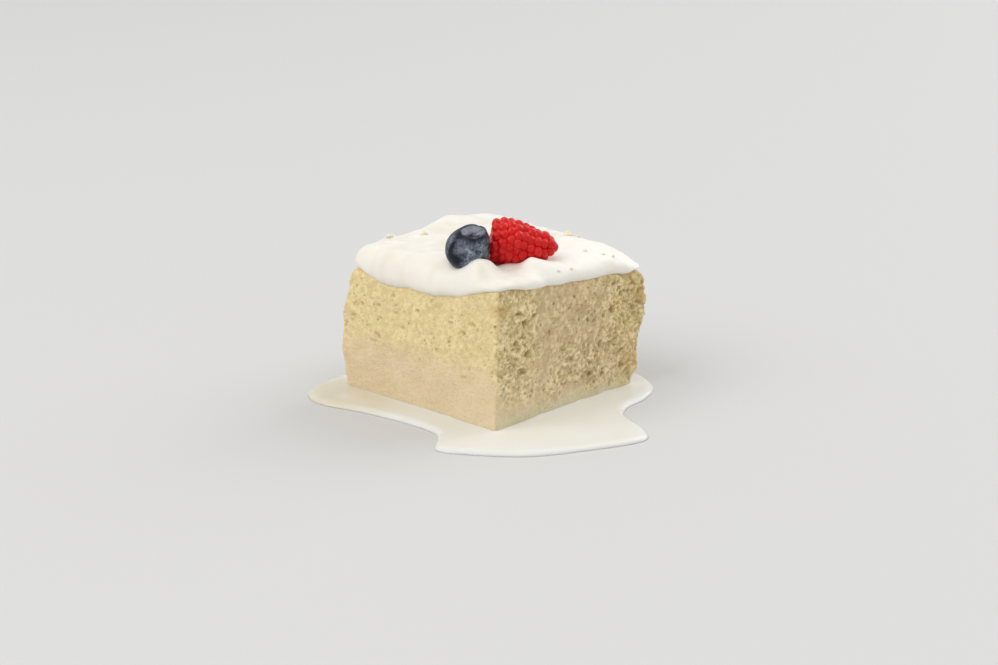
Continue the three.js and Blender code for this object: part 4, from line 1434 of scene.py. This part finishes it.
def crumb_surface(s, heights):
    """Uneven balls at their places, flattened and partly sunk, with their own lumps, and how pale each is."""
    share = CREAM_CRUMBS[:, 2]
    index = np.arange(len(share))
    size = s.smallest + (s.largest - s.smallest) * share
    across, along = (CRUMB_STRETCH + CRUMB_SPREAD * scatter(index, step, 1) for step in (1, 2))
    stretch = np.stack([across, along, np.full(len(share), CRUMB_FLATNESS)], -1)
    middles = np.column_stack([CREAM_CRUMBS[:, :2] * MM, heights + CRUMB_STANDS * size])
    vertices, faces = skin(ball())
    rough = 1 + layered(vertices[None] + index[:, None, None] * CRUMB_SHIFT, *CRUMB_LUMPS)
    placed = middles[:, None] + vertices[None] * stretch[:, None] * (size[:, None] * rough)[..., None]
    return *copies(faces, placed), np.repeat(smooth(share / PALE_SIZE), len(vertices))


def height_on(points, place):
    """Height of the grid point that lies nearest in plan to a place, on the upper part of a surface."""
    flat = points.reshape(-1, 3)
    flat = flat[flat[:, 2] > UPPER_SHARE * flat[:, 2].max()]
    nearest = np.argmin(((flat[:, :2] - place) ** 2).sum(-1))
    return flat[nearest, 2]


# Stage

# Half the floor's side and the point that the lights face, in metres, and the sensor in millimetres.
FLOOR_HALF = 4.0
LIT_POINT = Vector((0.0, 0.0, 0.03))
SENSOR_WIDTH = 36

# Name, place, size and tint of each soft light.
LIGHTS = (
    ("Key", (-0.5, -1.9, 1.9), 2.0, (1.0, 0.985, 0.96)),
    ("Overhead", (0.3, 0.3, 2.5), 2.5, (1.0, 1.0, 1.0)),
    ("Back", (0.4, 2.0, 1.5), 2.0, (1.0, 1.0, 1.0)),
)


def add_light(name, place, size, tint, power):
    """A square soft light at a place, facing the lit point."""
    data = bpy.data.lights.new(name, "AREA")
    data.size = size
    data.energy = power
    data.color = tint
    light = bpy.data.objects.new(name, data)
    light.location = place
    light.rotation_euler = (LIT_POINT - Vector(place)).to_track_quat("-Z", "Y").to_euler()
    bpy.context.scene.collection.objects.link(light)


def add_camera(s):
    """The camera at its eye, facing its target, turned by its roll."""
    look = (Vector(s.target) - Vector(s.eye)).normalized()
    level = look.cross(Vector((0, 0, 1))).normalized()
    right = level * np.cos(s.roll) + level.cross(look) * np.sin(s.roll)
    up = right.cross(look)
    data = bpy.data.cameras.new("Camera")
    data.lens = s.lens
    data.sensor_width = SENSOR_WIDTH
    camera = bpy.data.objects.new("Camera", data)
    camera.matrix_world = Matrix.Translation(s.eye) @ Matrix((right, up, -look)).transposed().to_4x4()
    bpy.context.scene.collection.objects.link(camera)
    bpy.context.scene.camera = camera


def add_floor(s):
    """A wide plain floor at the height of the sponge's base."""
    corners = [(FLOOR_HALF * across, FLOOR_HALF * along, 0) for across, along in CORNER_SIGNS]
    mesh = bpy.data.meshes.new("Floor")
    mesh.from_pydata(corners, [], [(0, 1, 2, 3)])
    material, _, _ = new_finish("Floor", Base_Color=s.floor, Roughness=0.7, Specular_IOR_Level=0.2)
    mesh.materials.append(material)
    floor = bpy.data.objects.new("Floor", mesh)
    bpy.context.scene.collection.objects.link(floor)


def add_room_light(s):
    """An even light from all round."""
    world = bpy.data.worlds.new("Room")
    world.use_nodes = True
    feed(world.node_tree, world.node_tree.nodes["Background"], Color=s.sky, Strength=s.sky_strength)
    bpy.context.scene.world = world


# Operators

class AddSponge(bpy.types.Operator):
    """Add the soaked sponge with its open crumb"""
    bl_idname = "milk_cake.add_sponge"
    bl_label = "Sponge"

    def execute(self, context):
        settings = context.scene.milk_cake.sponge
        points, marks = sponge_surface(settings)
        add_skin("sponge_crumb", points, sponge_finish(settings), "sponge", **marks)
        return {"FINISHED"}


class AddCream(bpy.types.Operator):
    """Add the coat of whipped cream"""
    bl_idname = "milk_cake.add_cream"
    bl_label = "Cream"

    def execute(self, context):
        cake = context.scene.milk_cake
        points, marks = cream_surface(cake.cream, cake.sponge)
        add_skin("cream_coat", points, cream_finish(cake.cream), "cream", **marks)
        return {"FINISHED"}


class AddBlueberry(bpy.types.Operator):
    """Add the blueberry"""
    bl_idname = "milk_cake.add_blueberry"
    bl_label = "Blueberry"

    def execute(self, context):
        settings = context.scene.milk_cake.blueberry
        points, marks = blueberry_surface(settings)
        add_skin("blueberry_skin", points, blueberry_finish(settings), "blueberry", **marks)
        return {"FINISHED"}


class AddRaspberry(bpy.types.Operator):
    """Add the raspberry: its core, its beads and its fine hairs"""
    bl_idname = "milk_cake.add_raspberry"
    bl_label = "Raspberry"

    def execute(self, context):
        settings = context.scene.milk_cake.raspberry
        flesh = raspberry_finish(settings)
        vertices, faces, tone, tips, outward = raspberry_bead_surface(settings)
        add_piece("raspberry_beads", vertices, faces, flesh, "raspberry", tone=tone)
        core = raspberry_core_surface(settings)
        add_skin("raspberry_core", core, flesh, slot="raspberry", tone=np.zeros(core.shape[:2]))
        hairs = hair_surface(settings, tips, outward)
        add_piece("raspberry_hairs", *hairs, hair_finish(settings), slot="raspberry")
        return {"FINISHED"}


class AddMilk(bpy.types.Operator):
    """Add the pool of milk"""
    bl_idname = "milk_cake.add_milk"
    bl_label = "Milk"

    def execute(self, context):
        cake = context.scene.milk_cake
        vertices, faces, marks = milk_surface(cake.milk, cake.sponge)
        add_piece("milk_pool", vertices, faces, milk_finish(cake.milk), "milk", **marks)
        return {"FINISHED"}


class AddCrumbs(bpy.types.Operator):
    """Add the loose crumbs on the cream"""
    bl_idname = "milk_cake.add_crumbs"
    bl_label = "Crumbs"

    def execute(self, context):
        cake = context.scene.milk_cake
        cream, _ = cream_surface(cake.cream, cake.sponge)
        heights = np.array([height_on(cream, place * MM) for place in CREAM_CRUMBS[:, :2]])
        vertices, faces, pale = crumb_surface(cake.crumbs, heights)
        add_piece("loose_crumbs", vertices, faces, crumb_finish(cake.crumbs), slot="sponge", pale=pale)
        return {"FINISHED"}


class AddStage(bpy.types.Operator):
    """Add the camera, the floor and the light"""
    bl_idname = "milk_cake.add_stage"
    bl_label = "Stage"

    def execute(self, context):
        settings = context.scene.milk_cake.stage
        add_camera(settings)
        add_floor(settings)
        add_room_light(settings)
        powers = (settings.key_power, settings.fill_power, settings.back_power)
        for light, power in zip(LIGHTS, powers):
            add_light(*light, power)
        context.scene.view_settings.view_transform = "Standard"
        return {"FINISHED"}


class MilkCakePanel(bpy.types.Panel):
    """Lists the pieces of the milk cake"""
    bl_idname = "VIEW3D_PT_milk_cake"
    bl_label = "Milk cake"
    bl_space_type = "VIEW_3D"
    bl_region_type = "UI"
    bl_category = "Milk cake"

    def draw(self, context):
        for operator in OPERATORS:
            self.layout.operator(operator.bl_idname)


SETTINGS = (
    SpongeSettings, CreamSettings, BlueberrySettings, RaspberrySettings, MilkSettings, CrumbSettings,
    StageSettings, CakeSettings,
)
OPERATORS = (AddSponge, AddCream, AddBlueberry, AddRaspberry, AddMilk, AddCrumbs, AddStage)


def register():
    """Registers the settings, the operators and the panel."""
    for item in (*SETTINGS, *OPERATORS, MilkCakePanel):
        bpy.utils.register_class(item)
    bpy.types.Scene.milk_cake = bpy.props.PointerProperty(type=CakeSettings)


def unregister():
    """Takes them out again."""
    del bpy.types.Scene.milk_cake
    for item in reversed((*SETTINGS, *OPERATORS, MilkCakePanel)):
        bpy.utils.unregister_class(item)


def main():
    """Builds the pieces in order."""
    register()
    bpy.ops.milk_cake.add_sponge()
    bpy.ops.milk_cake.add_cream()
    bpy.ops.milk_cake.add_blueberry()
    bpy.ops.milk_cake.add_raspberry()
    bpy.ops.milk_cake.add_milk()
    bpy.ops.milk_cake.add_crumbs()
    bpy.ops.milk_cake.add_stage()


if __name__ == "__main__":
    main()
